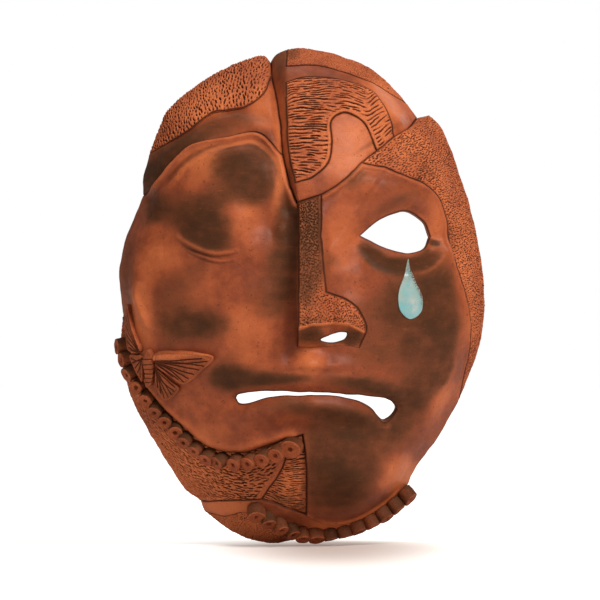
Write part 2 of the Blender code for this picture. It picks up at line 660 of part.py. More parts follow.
def add_ring_row(name, slab, path, count, seed):
    """A row of rings, evenly spaced over the slab along a drawn path, none touching the next."""
    chance = np.random.default_rng(seed)
    line = smooth_line(path, 1.0)
    places = surface(slab, line)
    along = np.concatenate([[0], np.cumsum(np.linalg.norm(np.diff(places, axis=0), axis=1))])
    at = np.linspace(0, along[-1], count)
    centres = np.column_stack([np.interp(at, along, line[:, k]) for k in (0, 1)])
    axes = outward(slab, centres)
    seats = surface(slab, centres)
    seats = seats + axes * np.array([[SEAT_GAP + seat_height(slab, c, a)] for c, a in zip(centres, axes)])
    lengths = RING_LENGTH * chance.uniform(0.9, 1.1, count)
    tops = seats + axes * lengths[:, None]
    rooms = [min(np.linalg.norm(e[i] - e[i + 1]) for e in (seats, tops)) for i in range(count - 1)]
    rooms = [rooms[0]] + rooms + [rooms[-1]]
    for i in range(count):
        radius = min(RING_RADIUS * chance.uniform(0.95, 1.06), min(rooms[i:i + 2]) / 2 - RING_GAP)
        add_ring(f"{name}_{i + 1:02d}", seats[i], axes[i], radius, lengths[i])


def jaw_ring_path():
    """The jaw's ring row keeps one distance below the edge of the cheek."""
    edge = flattened(smooth_line(CURVES["jaw_edge"], 8.0))
    ahead = np.gradient(edge, axis=0)
    ahead /= np.linalg.norm(ahead, axis=1)[:, None]
    side = np.column_stack([ahead[:, 1], -ahead[:, 0]])
    return drawn(edge + side * RING_OFFSET)[2:].tolist()


def lug_outline():
    """Section of a hanging lug, (y, z) about its hole: a round eye on a foot that runs to the shell."""
    arc = [math.radians(a) for a in range(-90, 91, 20)]
    eye = [(LUG_RADIUS * math.cos(a), LUG_RADIUS * math.sin(a)) for a in arc]
    foot = LUG_RADIUS + LUG_FOOT_SPREAD
    return eye + [(-LUG_STAND_OFF, foot), (-LUG_STAND_OFF, -foot)]


def add_lug(name, x, pivot):
    """A pierced lug of clay on the mask's back, its hole along X."""
    work = bmesh.new()
    left = x - LUG_WIDTH / 2
    corners = [work.verts.new((left, pivot[1] + y, pivot[2] + z)) for y, z in lug_outline()]
    side = work.faces.new(corners)
    grown = bmesh.ops.extrude_face_region(work, geom=[side])["geom"]
    moved = [v for v in grown if isinstance(v, bmesh.types.BMVert)]
    bmesh.ops.translate(work, verts=moved, vec=(LUG_WIDTH, 0, 0))
    bmesh.ops.recalc_face_normals(work, faces=work.faces)
    work.verts.index_update()
    points = np.array([v.co for v in work.verts])
    faces = [[v.index for v in f.verts] for f in work.faces]
    work.free()
    centre = (x, pivot[1], pivot[2])
    lug = add_object(name, points, faces, CLAY_COLOUR, origin=centre)
    bpy.ops.mesh.primitive_cylinder_add(
        vertices=16, radius=LUG_HOLE_RADIUS * 0.001, depth=2 * LUG_WIDTH * 0.001,
        location=placed(centre), rotation=(0, math.pi / 2, 0))
    drill = bpy.context.object
    drill.name = name + "_drill"
    drill.hide_render = True
    drill.display_type = "WIRE"
    cut = lug.modifiers.new("wire hole", "BOOLEAN")
    cut.operation = "DIFFERENCE"
    cut.object = drill


def lug_pivot():
    """The middle of the hanging wire's hinge line, clear of the shell behind both lugs."""
    foot = LUG_RADIUS + LUG_FOOT_SPREAD
    grid = [(side * LUG_X + dx, LUG_Z + dz) for side in (-1, 1)
            for dx in (-LUG_WIDTH / 2, 0, LUG_WIDTH / 2) for dz in (-foot, 0, foot)]
    xz = np.array(grid, float)
    behind = point_at(xz, back_height("forehead_slab", xz))
    return np.array([0, round(behind[:, 1].max() + LUG_FOOT_GAP + LUG_STAND_OFF, 1), LUG_Z])


def add_wire(pivot):
    """The hanging wire: two peened ends through the lugs, and a loop up to where the wall hook goes.

    Its line is drawn as stations: x, the share of the loop's rise, and the wire's radius there."""
    inner = LUG_X - LUG_WIDTH / 2 - WIRE_BESIDE_LUG
    outer = LUG_X + LUG_WIDTH / 2 + WIRE_PAST_LUG
    back = -WIRE_WALL_CLEARANCE - pivot[1]
    rise = math.sqrt(WIRE_RISE ** 2 - back ** 2)
    thin, head = 1.0, WIRE_HEAD_RADIUS / WIRE_RADIUS
    half = [(outer, 0, head), (outer - 1.0, 0, head), (outer - 1.2, 0, thin), (inner + 1.5, 0, thin)]
    half += [(inner, 0.06, thin), (inner - 3.5, 0.45, thin), (inner - 9, 0.78, thin)]
    half += [(inner - 16, 0.95, thin), (3, 1.0, thin)]
    line = bpy.data.curves.new("hanging_wire", "CURVE")
    line.dimensions = "3D"
    line.bevel_depth = WIRE_RADIUS * 0.001
    line.bevel_resolution = 2
    line.use_fill_caps = True
    line.resolution_u = 1
    spline = line.splines.new("POLY")
    stations = half + [(-x, up, r) for x, up, r in half[::-1]]
    spline.points.add(len(stations) - 1)
    for point, (x, up, r) in zip(spline.points, stations):
        point.co = (x * 0.001, back * up * 0.001, rise * up * 0.001, 1)
        point.radius = r
    wire = bpy.data.objects.new("hanging_wire", line)
    wire.location = placed(pivot)
    line.materials.append(material("hanging_wire", STEEL_COLOUR, 0.4, 1.0))
    bpy.context.scene.collection.objects.link(wire)


def build():
    for old in list(bpy.data.objects):
        bpy.data.objects.remove(old)
    add_body_slabs()
    add_tear(bpy.data.objects["face_shell"])
    add_butterfly()
    add_ring_row("jaw_ring", "jaw_slab", jaw_ring_path(), JAW_RINGS, 3)
    add_ring_row("chin_ring", "ribbon", CHIN_RING_PATH, CHIN_RINGS, 5)
    pivot = lug_pivot()
    add_lug("lug_left", -LUG_X, pivot)
    add_lug("lug_right", LUG_X, pivot)
    add_wire(pivot)


build()
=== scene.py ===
"""Terracotta wall mask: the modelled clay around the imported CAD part.

Shapes are drawn in millimetres as seen from the front, (x, z) about the middle of the mask, and lifted to
the dome that all the clay slabs lie on. placed() turns a drawn place into the frame's metres, by way of
the record's mount on the back rim.
"""

import json
import math

import bpy
import numpy as np
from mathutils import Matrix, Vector
from mathutils.geometry import delaunay_2d_cdt
from mathutils.kdtree import KDTree


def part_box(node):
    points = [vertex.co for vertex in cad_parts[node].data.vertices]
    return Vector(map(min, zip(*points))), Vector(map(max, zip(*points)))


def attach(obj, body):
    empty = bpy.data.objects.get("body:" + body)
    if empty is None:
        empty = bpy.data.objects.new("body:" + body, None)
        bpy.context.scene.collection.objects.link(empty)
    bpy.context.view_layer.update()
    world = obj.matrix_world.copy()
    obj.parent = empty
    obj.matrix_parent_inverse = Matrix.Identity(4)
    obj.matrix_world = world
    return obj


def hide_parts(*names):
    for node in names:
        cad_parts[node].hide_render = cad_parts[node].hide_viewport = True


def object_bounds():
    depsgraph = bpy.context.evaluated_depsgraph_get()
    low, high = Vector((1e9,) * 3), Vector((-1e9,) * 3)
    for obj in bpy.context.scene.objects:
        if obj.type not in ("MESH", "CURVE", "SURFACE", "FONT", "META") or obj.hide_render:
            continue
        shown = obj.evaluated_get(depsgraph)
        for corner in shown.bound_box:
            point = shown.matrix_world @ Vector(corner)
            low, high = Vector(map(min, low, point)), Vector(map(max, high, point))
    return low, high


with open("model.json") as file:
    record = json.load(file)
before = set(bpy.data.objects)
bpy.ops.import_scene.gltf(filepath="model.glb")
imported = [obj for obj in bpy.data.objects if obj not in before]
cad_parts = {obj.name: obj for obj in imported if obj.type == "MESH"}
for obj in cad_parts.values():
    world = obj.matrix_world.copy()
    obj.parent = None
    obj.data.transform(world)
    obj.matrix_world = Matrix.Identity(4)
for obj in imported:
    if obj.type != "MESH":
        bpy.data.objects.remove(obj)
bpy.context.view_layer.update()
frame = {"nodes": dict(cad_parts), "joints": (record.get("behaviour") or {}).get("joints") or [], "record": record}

# The mount's place on the drawing, and the same place in the frame
DRAWN_MOUNT = (0.0, 0.0, 141.5)
MOUNT = frame["record"]["mounts"][0]["pos_m"]

# The clay body, millimetres and degrees
DOME_DEPTH = 56.0
RIM_SLOPE = 74.0
RIM_SLOPE_LEFT_EXTRA = 9.0
RIM_SHARE = 0.9999
CLAY = 6.5
NOSE_HEIGHT = 19.0
HALF_STEP = 6.0
HAND_WOBBLE = 0.45

# How the clay is meshed
CELL = 0.22
TOOLED_PITCH = 0.4
NOSE_PITCH = 0.34
SMOOTH_PITCH = 0.85
BACK_PITCH = 2.6
LINE_PITCH = 0.55
OVERLAP = 0.02
EDGE_ROWS = (0.14, 0.34, 0.6, 0.95)
BACK_ROWS = (0.5,)
PATCH_ROWS = (0.15, 0.4)
PATCH_BACK_PITCH = 1.5
WALL_LEVELS = (0.07, 0.2, 0.5, 0.8, 0.93)

# Drawn curves, each a smooth line through a few (x, z) points. Curves meet at their end points.
TOP_NOTCH = (-16, 136.5)
HAIR_TOP = (-15.3, 128)
BROW_MEETS_GROOVE = (-8.9, 81)
NOSE_TOP_LEFT = (-0.5, 54)
NOSE_TOP_RIGHT = (13.5, 58.5)
NOSE_WING_TOP = (16.5, 2)
NOSE_WING_FOOT = (35.5, -30)
NOSE_FOOT_LEFT = (0, -29)
CROWN_LEFT_RIM = (-6.7, 143.4)
CROWN_LEFT = (-6.7, 130.5)
CROWN_RIGHT_RIM = (64, 112)
COMB_LEFT_TOP = (-6.8, 120.5)
COMB_LEFT_FOOT = (-1.5, 65.3)
COMB_RIGHT_TOP = (54, 89)
COMB_RIGHT_FOOT = (44.5, 82)
PLATE_CORNER = (69.5, 104)
TEMPLE_START = (36, 75.5)
TEMPLE_END = (93.5, -61.5)
CHIN_RIGHT = (64.5, -109)
CHIN_LEFT_TOP = (3, -80)
CHIN_LEFT_FOOT = (5, -125.5)
RIBBON_FOOT = (1, -141.5)
CHIN_SLAB_LEFT = (-54.5, -125.5)
RIBBON_LEFT = (-57, -119.5)
WEDGE_TOP = (-5, -82)
WEDGE_FOOT = (-21, -117.5)
JAW_LEFT = (-102, -10.5)
FACE_TOP_LEFT = (-90, 58.5)
BROW_LEFT = (-86.5, 82.5)

CURVES = {
    "rim_hair": [
        BROW_LEFT, (-77, 106), (-62.5, 120.5), (-45, 131.5), (-28, 138.5), (-19.5, 139.8), TOP_NOTCH,
    ],
    "rim_groove": [TOP_NOTCH, (-13.5, 140.5), CROWN_LEFT_RIM],
    "rim_crown": [CROWN_LEFT_RIM, (1, 144.5), (24.5, 140), (44.5, 131.5), CROWN_RIGHT_RIM],
    "rim_forehead": [CROWN_RIGHT_RIM, PLATE_CORNER],
    "rim_corner": [PLATE_CORNER, (76.5, 105.8)],
    "rim_temple": [(76.5, 105.8), (83, 99), (94, 72), (104, 37), (109, -5), (105, -32), TEMPLE_END],
    "rim_cheek": [TEMPLE_END, (82.5, -81), (68, -101.5), CHIN_RIGHT],
    "rim_ribbon": [CHIN_RIGHT, (57, -121), (39, -135.5), (15.5, -142.5), RIBBON_FOOT],
    "rim_chin": [RIBBON_FOOT, (-16, -144), (-36.5, -138), CHIN_SLAB_LEFT],
    "rim_ribbon_left": [CHIN_SLAB_LEFT, RIBBON_LEFT],
    "rim_jaw": [RIBBON_LEFT, (-66.5, -111), (-77, -95), (-88.5, -76), (-97.5, -57), (-103, -35), JAW_LEFT],
    "rim_face": [JAW_LEFT, (-103.5, 3.5), (-104, 16), (-100, 34), FACE_TOP_LEFT],
    "rim_brow": [FACE_TOP_LEFT, (-90, 68), BROW_LEFT],
    "groove_hair": [TOP_NOTCH, HAIR_TOP],
    "groove_brow": [HAIR_TOP, (-12.3, 114), (-9.8, 97), BROW_MEETS_GROOVE],
    "groove_face": [BROW_MEETS_GROOVE, (-5.2, 65), NOSE_TOP_LEFT],
    "hairline": [BROW_LEFT, (-74, 89.5), (-62.5, 96.5), (-50, 105.5), (-31, 109.5), (-20, 117), HAIR_TOP],
    "brow_ridge": [
        FACE_TOP_LEFT, (-80, 65.5), (-71.5, 76), (-62, 85.5), (-42.5, 91), (-22, 93.5), BROW_MEETS_GROOVE,
    ],
    "nose_top": [NOSE_TOP_LEFT, NOSE_TOP_RIGHT],
    "plate_edge_low": [NOSE_TOP_RIGHT, (24.5, 65), TEMPLE_START],
    "plate_edge_tongue": [TEMPLE_START, COMB_RIGHT_FOOT],
    "plate_edge_comb": [COMB_RIGHT_FOOT, COMB_RIGHT_TOP],
    "plate_edge_top": [COMB_RIGHT_TOP, (61.5, 94), PLATE_CORNER],
    "temple_line": [
        TEMPLE_START, (56.5, 69.5), (76.5, 58.5), (84.5, 44), (86, 30), (92, 12), (98, -8), (99, -30),
        TEMPLE_END,
    ],
    "nose_left": [NOSE_TOP_LEFT, (0, 30), (0, 0), NOSE_FOOT_LEFT],
    "nose_side": [NOSE_TOP_RIGHT, (13.5, 32), NOSE_WING_TOP],
    "nose_wing": [NOSE_WING_TOP, (31.5, -4.5), (39.5, -18), NOSE_WING_FOOT],
    "nose_foot": [NOSE_FOOT_LEFT, (13, -29.5), (25, -28.5), NOSE_WING_FOOT],
    "crown_left": [CROWN_LEFT_RIM, CROWN_LEFT],
    "crown_line": [CROWN_LEFT, (13, 130.5), (30, 125.5), (50.5, 118.5), CROWN_RIGHT_RIM],
    "comb_top": [COMB_LEFT_TOP, (1, 123), (16, 123), (41, 115), (51, 100), COMB_RIGHT_TOP],
    "comb_left": [COMB_LEFT_TOP, (-6.2, 98), (-4.8, 79), COMB_LEFT_FOOT],
    "tongue": [
        COMB_LEFT_FOOT, (8, 68.5), (17, 76), (19.5, 87.5), (19, 99), (26, 103.5), (37, 97.5), COMB_RIGHT_FOOT,
    ],
    "jaw_edge": [
        JAW_LEFT, (-99, -22.5), (-92, -42), (-80, -60.5), (-65, -75.5), (-49.5, -87), (-33.5, -90),
        (-17.5, -86), WEDGE_TOP,
    ],
    "jaw_edge_end": [WEDGE_TOP, CHIN_LEFT_TOP],
    "chin_left": [CHIN_LEFT_TOP, (4.7, -95), CHIN_LEFT_FOOT],
    "chin_foot": [CHIN_LEFT_FOOT, (15, -131), (30, -131), (46, -123.5), CHIN_RIGHT],
    "wedge_left": [WEDGE_TOP, (-9, -99), WEDGE_FOOT],
    "jaw_foot": [WEDGE_FOOT, (-42.5, -118.5), RIBBON_LEFT],
    "wedge_foot": [WEDGE_FOOT, (-9, -121.5), CHIN_LEFT_FOOT],
    "ribbon_foot": [CHIN_SLAB_LEFT, (-42, -127.5), (-30.5, -125), (-20, -129.5), (-11, -137), RIBBON_FOOT],
}
RIM_ORDER = [
    "rim_groove", "rim_crown", "rim_forehead", "rim_corner", "rim_temple", "rim_cheek", "rim_ribbon",
    "rim_chin", "rim_ribbon_left", "rim_jaw", "rim_face", "rim_brow", "rim_hair",
]

# Each slab: its boundary curves in order, a leading "-" running one backwards, its height step and mesh pitch
SLABS = {
    "face_shell": (
        ["rim_face", "brow_ridge", "groove_face", "nose_left", "nose_foot", "-nose_wing", "-nose_side",
         "plate_edge_low", "temple_line", "rim_cheek", "-chin_foot", "-chin_left", "-jaw_edge_end",
         "-jaw_edge"],
        2.6, SMOOTH_PITCH,
    ),
    "nose": (["nose_left", "nose_foot", "-nose_wing", "-nose_side", "-nose_top"], 2.6, NOSE_PITCH),
    "temple_band": (
        ["plate_edge_tongue", "plate_edge_comb", "plate_edge_top", "rim_corner", "rim_temple",
         "-temple_line"],
        2.3, TOOLED_PITCH,
    ),
    "forehead_slab": (
        ["rim_groove", "crown_left", "crown_line", "rim_forehead", "-plate_edge_top", "-comb_top",
         "comb_left",
         "tongue", "-plate_edge_tongue", "-plate_edge_low", "-nose_top", "-groove_face", "-groove_brow",
         "-groove_hair"],
        0.0, SMOOTH_PITCH,
    ),
    "crown_band": (["rim_crown", "-crown_line", "-crown_left"], 0.7, TOOLED_PITCH),
    "comb_panel": (["comb_top", "-plate_edge_comb", "-tongue", "-comb_left"], 0.3, TOOLED_PITCH),
    "hair_panel": (["rim_hair", "groove_hair", "-hairline"], 1.0, TOOLED_PITCH),
    "brow_band": (["rim_brow", "hairline", "groove_brow", "-brow_ridge"], 0.0, SMOOTH_PITCH),
    "jaw_slab": (["rim_jaw", "jaw_edge", "wedge_left", "jaw_foot"], 0.6, TOOLED_PITCH),
    "comb_wedge": (["jaw_edge_end", "chin_left", "-wedge_foot", "-wedge_left"], 0.0, TOOLED_PITCH),
    "ribbon": (
        ["rim_ribbon_left", "-jaw_foot", "wedge_foot", "chin_foot", "rim_ribbon", "-ribbon_foot"],
        1.4, SMOOTH_PITCH,
    ),
    "chin_slab": (["ribbon_foot", "rim_chin"], 0.4, TOOLED_PITCH),
}

# How far an edge is rounded over: the usual, at the rim, at a hole, and along some curves of a slab
EDGE_ROUND = 1.1
RIM_ROUND = 1.5
HOLE_ROUND = 1.3
ROUND_SOFTENED = 6
EDGE_DROP = 0.9
EDGE_ROUNDS = {
    ("face_shell", "brow_ridge"): 2.6,
    ("face_shell", "groove_face"): 2.0,
    ("face_shell", "jaw_edge"): 2.6,
    ("face_shell", "chin_foot"): 1.3,
    ("face_shell", "chin_left"): 1.2,
    ("face_shell", "temple_line"): 1.4,
    ("face_shell", "nose_foot"): 0.3,
    ("nose", "nose_foot"): 0.3,
    ("face_shell", "nose_left"): 0.5,
    ("nose", "nose_left"): 1.6,
    ("hair_panel", "groove_hair"): 1.6,
    ("forehead_slab", "rim_groove"): 1.5,
    ("temple_band", "plate_edge_top"): 1.4,
    ("temple_band", "plate_edge_comb"): 1.4,
    ("temple_band", "plate_edge_tongue"): 1.2,
}
# Painted shade in the grooves along every edge of a slab: how dark, how much that varies, and how far out of the
# groove it reaches
GROOVE_SHADE = 0.85
GROOVE_SHADE_VARIES = 0.3
GROOVE_SHADE_REACH = 1.15

# The holes, the tear and the nose's lower edge
EYE_TOP = [(36, 35), (47, 43.6), (62, 48.5), (72.5, 43.4), (77, 35)]
EYE_FOOT = [(77, 35), (73.5, 27.8), (62, 25), (47, 29.3), (36, 35)]
MOUTH_TOP = [
    (-35.8, -58.9), (-34.8, -57), (-31, -56), (-16, -55), (12, -55.7), (42, -57.6), (50, -58.6),
    (54.5, -60.8),
]
MOUTH_FOOT = [
    (54.5, -60.8), (57.3, -65), (55, -69.8), (50, -72.7), (46.5, -69.6), (42, -64.5), (29, -58.8), (1, -57.2),
    (-17, -58.7), (-30, -62.1), (-34, -61.6), (-35.8, -58.9),
]
NOSTRIL = [(13, -25.2), (20, -22), (28.5, -21.3), (27, -24.6), (19, -26.6)]
TEAR = [
    (63.1, 21.5), (61, 14), (57.9, 3), (58.4, -8.5), (64.2, -13), (70, -8.5), (70.2, -0.5), (66.4, 8.5),
    (64.1, 15),
]
NOSE_TOP_Z = 58
NOSE_FOOT_Z = -29.3
NOSE_WING = (9.5, 27, -14, 11.5, 11, 0)
NOSE_UNDER = [(-0.9, -18.7), (8.5, -16), (18.5, -15.6), (29.4, -16), (37.9, -20.6)]
LIP_Z = -56.4
LIP_RISE = 3.6
# Around the open eye, all round it and only below it, and around the mouth: height, how far out, half width
EYE_RIM = (-4.5, 0, 5)
EYE_BAGS = [(-2.0, 4, 3.5), (1.6, 13, 4.5)]
MOUTH_RIM = (-1.6, 0, 2.5)

# The butterfly's pieces: outline, thickness, where the veins start and where they end
BUTTERFLY = {
    "forewing_right": (
        [(-79.3, -31.8), (-57, -32.3), (-48.5, -35.4), (-53, -41.5), (-65, -50), (-72, -45), (-79, -38.5)],
        2.2, (-80.5, -36),
        [(-55, -35.4), (-52, -37.4), (-53.6, -40), (-56.4, -42.2), (-59.4, -44.4), (-62, -46.4),
         (-64.6, -48.4), (-67.4, -47), (-70.5, -45.2)],
    ),
    "hindwing_right": (
        [(-79.2, -40.8), (-73, -46.8), (-67, -52.5), (-70.8, -57.5), (-75.4, -59), (-78.4, -54),
         (-79.8, -47)],
        1.8, (-80, -40.5),
        [(-69.2, -51.4), (-69.8, -53.6), (-71, -55.6), (-73, -56.8), (-75.2, -57), (-76.8, -54.6),
         (-78.2, -51)],
    ),
    "forewing_left": (
        [(-86.8, -31), (-88.4, -22.5), (-95, -4.5), (-97, -13), (-96.5, -23), (-94.5, -30.5)],
        2.2, (-86.6, -31.5),
        [(-94.2, -7.5), (-95.2, -12), (-95.4, -16.5), (-95.2, -21), (-94.8, -25), (-93.6, -28.6)],
    ),
    "hindwing_left": (
        [(-86.8, -33.3), (-93.8, -33), (-92, -38.5), (-89.6, -44), (-87.4, -47.8), (-86.4, -41)],
        1.8, (-86.2, -34.5),
        [(-92.4, -34.4), (-91.6, -37), (-90.4, -39.8), (-89.2, -42.4), (-87.8, -45.2)],
    ),
    "body": (
        [(-82.4, -29.5), (-80.6, -33), (-80.8, -42), (-82, -50), (-84, -50.5), (-84.8, -44), (-84.8, -34)],
        3.0, None, [],
    ),
}
# The rings pressed around its body, z of each, and the width and depth of each kind of mark
BODY_RINGS = (-34.5, -37.5, -40.3, -42.9, -45.3, -47.5)
BODY_RING = (0.8, 0.55)
VEIN = (0.85, 0.95)
WING_BORDER = (0.6, 0.28)
WING_BORDER_IN = 1.5
# The ridge along the top of one wing, and how far each piece's face and back stand over the face shell
CREST_WING = "forewing_right"
CREST_RISE = 1.4
BUTTERFLY_OVER = 0.9
BUTTERFLY_BACK = -0.6

# The glazed tear
TEAR_OVER = 0.9
TEAR_CROWN = 0.9
TEAR_BACK = -0.8

# Soft swellings and hollows of the whole face: height, centre x and z, reach across and up, turn in degrees
SWELLINGS = [
    (6.5, -36, 68, 42, 24, 0),
    (5.5, -51, 43, 24, 19, 0),
    (-5.5, -19, 45, 15, 15, 0),
    (7.5, -52, -10, 38, 32, 0),
    (2.5, -88, -8, 7, 26, 8),
    (5.5, 4, -46, 48, 24, 0),
    (-2.5, -40, -58, 9, 8, 0),
    (-3.0, 61, -66, 10, 9, 0),
    (4.5, -36, -77, 22, 11, 0),
    (-3.0, 0, -78, 30, 6, 0),
    (8.5, 30, -104, 25, 21, 0),
    (4.5, 60, -18, 30, 30, 0),
    (-3.0, 33, 28, 12, 16, 0),
    (4.5, 52, 62, 30, 9, -12),
    (-3.0, -10, 100, 3.5, 42, 5),
    (2.5, 30, 100, 34, 30, 0),
    (-2.5, -48, 97, 32, 5, 14),
]
# Smaller ones, only on the face shell
DETAILS = [
    (1.5, -10.5, 38, 2.6, 3.4, 0),
    (-1.0, -5.5, 36, 2.0, 6.5, 0),
    (-0.8, -15, 36.5, 1.6, 4.5, 10),
    (2.0, 7, -38.3, 6.5, 4.5, 0),
    (-1.2, -4.5, -36, 3.5, 6, 0),
    (-1.2, 18, -37, 4, 6, 0),
    (2.0, -34, 78, 22, 9, 0),
    (1.5, -33, 41, 14, 12, 0),
    (-2.0, -60, -16, 17, 10, -12),
    (1.2, 60, 10, 20, 5, 0),
    (-1.4, 12, -44, 30, 2.5, 0),
]
# Ridges and grooves on the face shell: height, half width, and the line each follows
FOLDS = [
    (1.5, 1.4, [(-69, 34.5), (-64, 30.5), (-59.2, 28), (-49.9, 25), (-40.6, 24.8), (-33.6, 26.4)]),
    (-1.0, 0.9, [(-68, 32), (-64, 28.6), (-59.2, 26), (-49.9, 22.9), (-40.6, 22.9), (-34, 24.8)]),
    (0.9, 1.2, [(-63, 26.4), (-58, 23.6), (-52, 21.8), (-43, 20.2), (-36, 20.7)]),
    (-0.9, 0.9, [(-62.5, 24.6), (-58, 21.9), (-52, 20.1), (-43, 18.5), (-34, 19.4)]),
    (1.5, 1.7, [(-88.7, 8), (-89.3, 0), (-87, -5.8), (-84.4, -12.8), (-82.4, -19)]),
    (-0.35, 0.5, [(-12.5, 34), (-9.5, 32), (-6.5, 35)]),
    (-0.5, 0.7, [(-35, -58.6), (-37.4, -61.5), (-37, -64.5), (-33.5, -65.4)]),
    (0.5, 0.9, [(46, -73.8), (50, -75.2), (53.5, -73.5)]),
    (0.7, 1.4, [(85, 27), (80, 19.5), (73, 14.5), (64, 12.5)]),
    (-0.3, 0.45, [(24.5, -101.5), (23.5, -103.5), (21.5, -104.5)]),
    (-0.3, 0.3, [(26, -101), (26.5, -103)]),
]

# The same on the brow band: a rounded roll that arches over the brow
BROW_FOLDS = [
    (2.4, 5.0, [(-92, 62), (-80, 75), (-66, 88), (-50, 98), (-36, 101), (-22, 97), (-9, 88)]),
    (-1.4, 2.5, [(-78, 85), (-64, 95), (-50, 104), (-36, 107.5), (-22, 105), (-12, 97)]),
]

# The right half of the brow stands over the left. Its side wall runs between these two lines, x at z.
WALL_Z = (54, 65, 79, 97, 114, 131, 143)
WALL_FOOT_X = (-0.5, -5.2, -8.8, -9.8, -12.3, -15.2, -16)
WALL_HEAD_X = (0.8, -1.5, -4.8, -6.2, -6.8, -6.7, -6.7)

# Tool marks: spacing across and along, shortest and longest mark, width, depth and how much headings stray
TOOLING = {
    "nose": (1.05, 1.25, 0.3, 1.6, 0.80, 0.95, 75),
    "crown_band": (1.25, 1.40, 0.3, 1.3, 0.95, 1.20, 80),
    "hair_panel": (1.95, 3.70, 1.4, 5.6, 1.30, 1.60, 9),
    "temple_band": (1.08, 2.00, 1.2, 3.0, 0.80, 1.00, 12),
    "comb_panel": (1.55, 1.0, 8.0, 40.0, 1.15, 1.50, 2),
    "jaw_slab": (1.70, 3.30, 2.0, 5.4, 1.20, 1.40, 10),
    "comb_wedge": (1.45, 1.0, 5.0, 20.0, 1.00, 1.20, 2),
    "chin_slab": (1.35, 1.55, 0.3, 1.4, 1.00, 1.00, 70),
}
# Which way the marks run: by x (0) or by z (1), at these places, in degrees. Upwards on the other slabs.
HEADINGS = {
    "hair_panel": (0, [-85, -60, -35, -22, -16], [-60, -68, -76, -92, -115]),
    "temple_band": (1, [-60, -30, 0, 40, 80], [60, 40, 14, 12, 30]),
    "comb_panel": (0, [-7, -4, 0, 24, 33, 38, 41], [42, 20, 2, -4, -16, -10, 46]),
    "jaw_slab": (0, [-95, -70, -50, -35, -15], [-38, -22, -16, 6, 28]),
    "comb_wedge": (0, [-14, -6, 4], [-22, -4, 8]),
}
# Where the long strokes of the combed slabs are started, x in order
SEED_COLUMNS = {"comb_panel": (9, 28, 47, 40), "comb_wedge": (-3, -9)}
TRACE_STRIDE = 0.35
MARK_STRIDE = 0.3
# Smooth borders left beside some curves of a tooled slab: how wide, and how much they stand up
BORDERS = [
    ("comb_panel", "tongue", 2.6, 0.5),
    ("comb_panel", "comb_top", 0.6, 0.0),
    ("jaw_slab", "wedge_left", 4.0, 0.5),
    ("jaw_slab", "jaw_edge", 1.0, 0.0),
    ("nose", "nose_side", 1.9, 0.9),
    ("nose", "nose_wing", 0.7, 0.0),
    ("temple_band", "plate_edge_top", 0.9, 0.0),
    ("temple_band", "temple_line", 0.8, 0.15),
    ("hair_panel", "groove_hair", 1.6, 0.0),
    ("hair_panel", "hairline", 0.7, 0.0),
]

# Rolled edges of the face shell: the curves, how far in the roll stands, its half width and height,
# and the hollow that runs behind it: how far in, its half width and depth
ROLLS = [
    (("brow_ridge", "groove_face"), (2.0, 1.5, 1.4), (7.0, 3.8, 1.9)),
    (("jaw_edge",), (3.0, 2.5, 0.8), (9.0, 4.0, 0.5)),
    (("chin_foot",), (1.6, 1.3, 0.5), (4.5, 2.5, 0.4)),
    (("temple_line", "plate_edge_low"), (2.0, 1.1, 0.8), (4.6, 2.0, 0.6)),
]

# Fire clouds that follow a line on the face shell, some of them painted shade: strength, half width, and the line
SMOKE_AND_SHADE_LINES = [
    # Under the open eye: smoke and painted shade under its lower rim
    (0.97, 4.4, [(35, 31), (41, 23.5), (51.6, 17.6), (63.5, 16.5), (73, 20.5), (79, 26)]),
    # Painted shade in a notch at the open eye's outer corner
    (0.95, 1.6, [(75.5, 33), (78.5, 31.2), (82, 30)]),
    (0.55, 2.6, [(-76, 62), (-66, 74), (-54, 82), (-38, 85.5), (-24, 86.5), (-14, 78), (-9, 66)]),
    (0.8, 3.4, [(-45, -46), (-32, -49), (-12, -48.5), (8, -47)]),
    (0.6, 3.0, [(18, -49), (38, -51), (54, -57), (61, -63)]),
    # Painted shade in the closed eye's lower lid crease
    (0.35, 3.0, [(-64, 28.5), (-57, 24.5), (-46, 21.5)]),
    (0.6, 5.0, [(82, 14), (87, -8), (86, -30), (78, -50), (66, -68)]),
]

# Painted highlight lines on the face shell, along the brow ridge and along the chin plate's lower edge, in the
# same terms
PAINTED_HIGHLIGHT_LINES = [
    (1.0, 2.6, [(-8, -136), (6, -136), (20, -133), (42, -125.5), (56, -115.5), (65, -106), (70, -96)]),
    (0.8, 1.6, [(-72, 60), (-62, 74), (-50, 82), (-38, 86), (-26, 88), (-16, 82), (-8, 66)]),
]
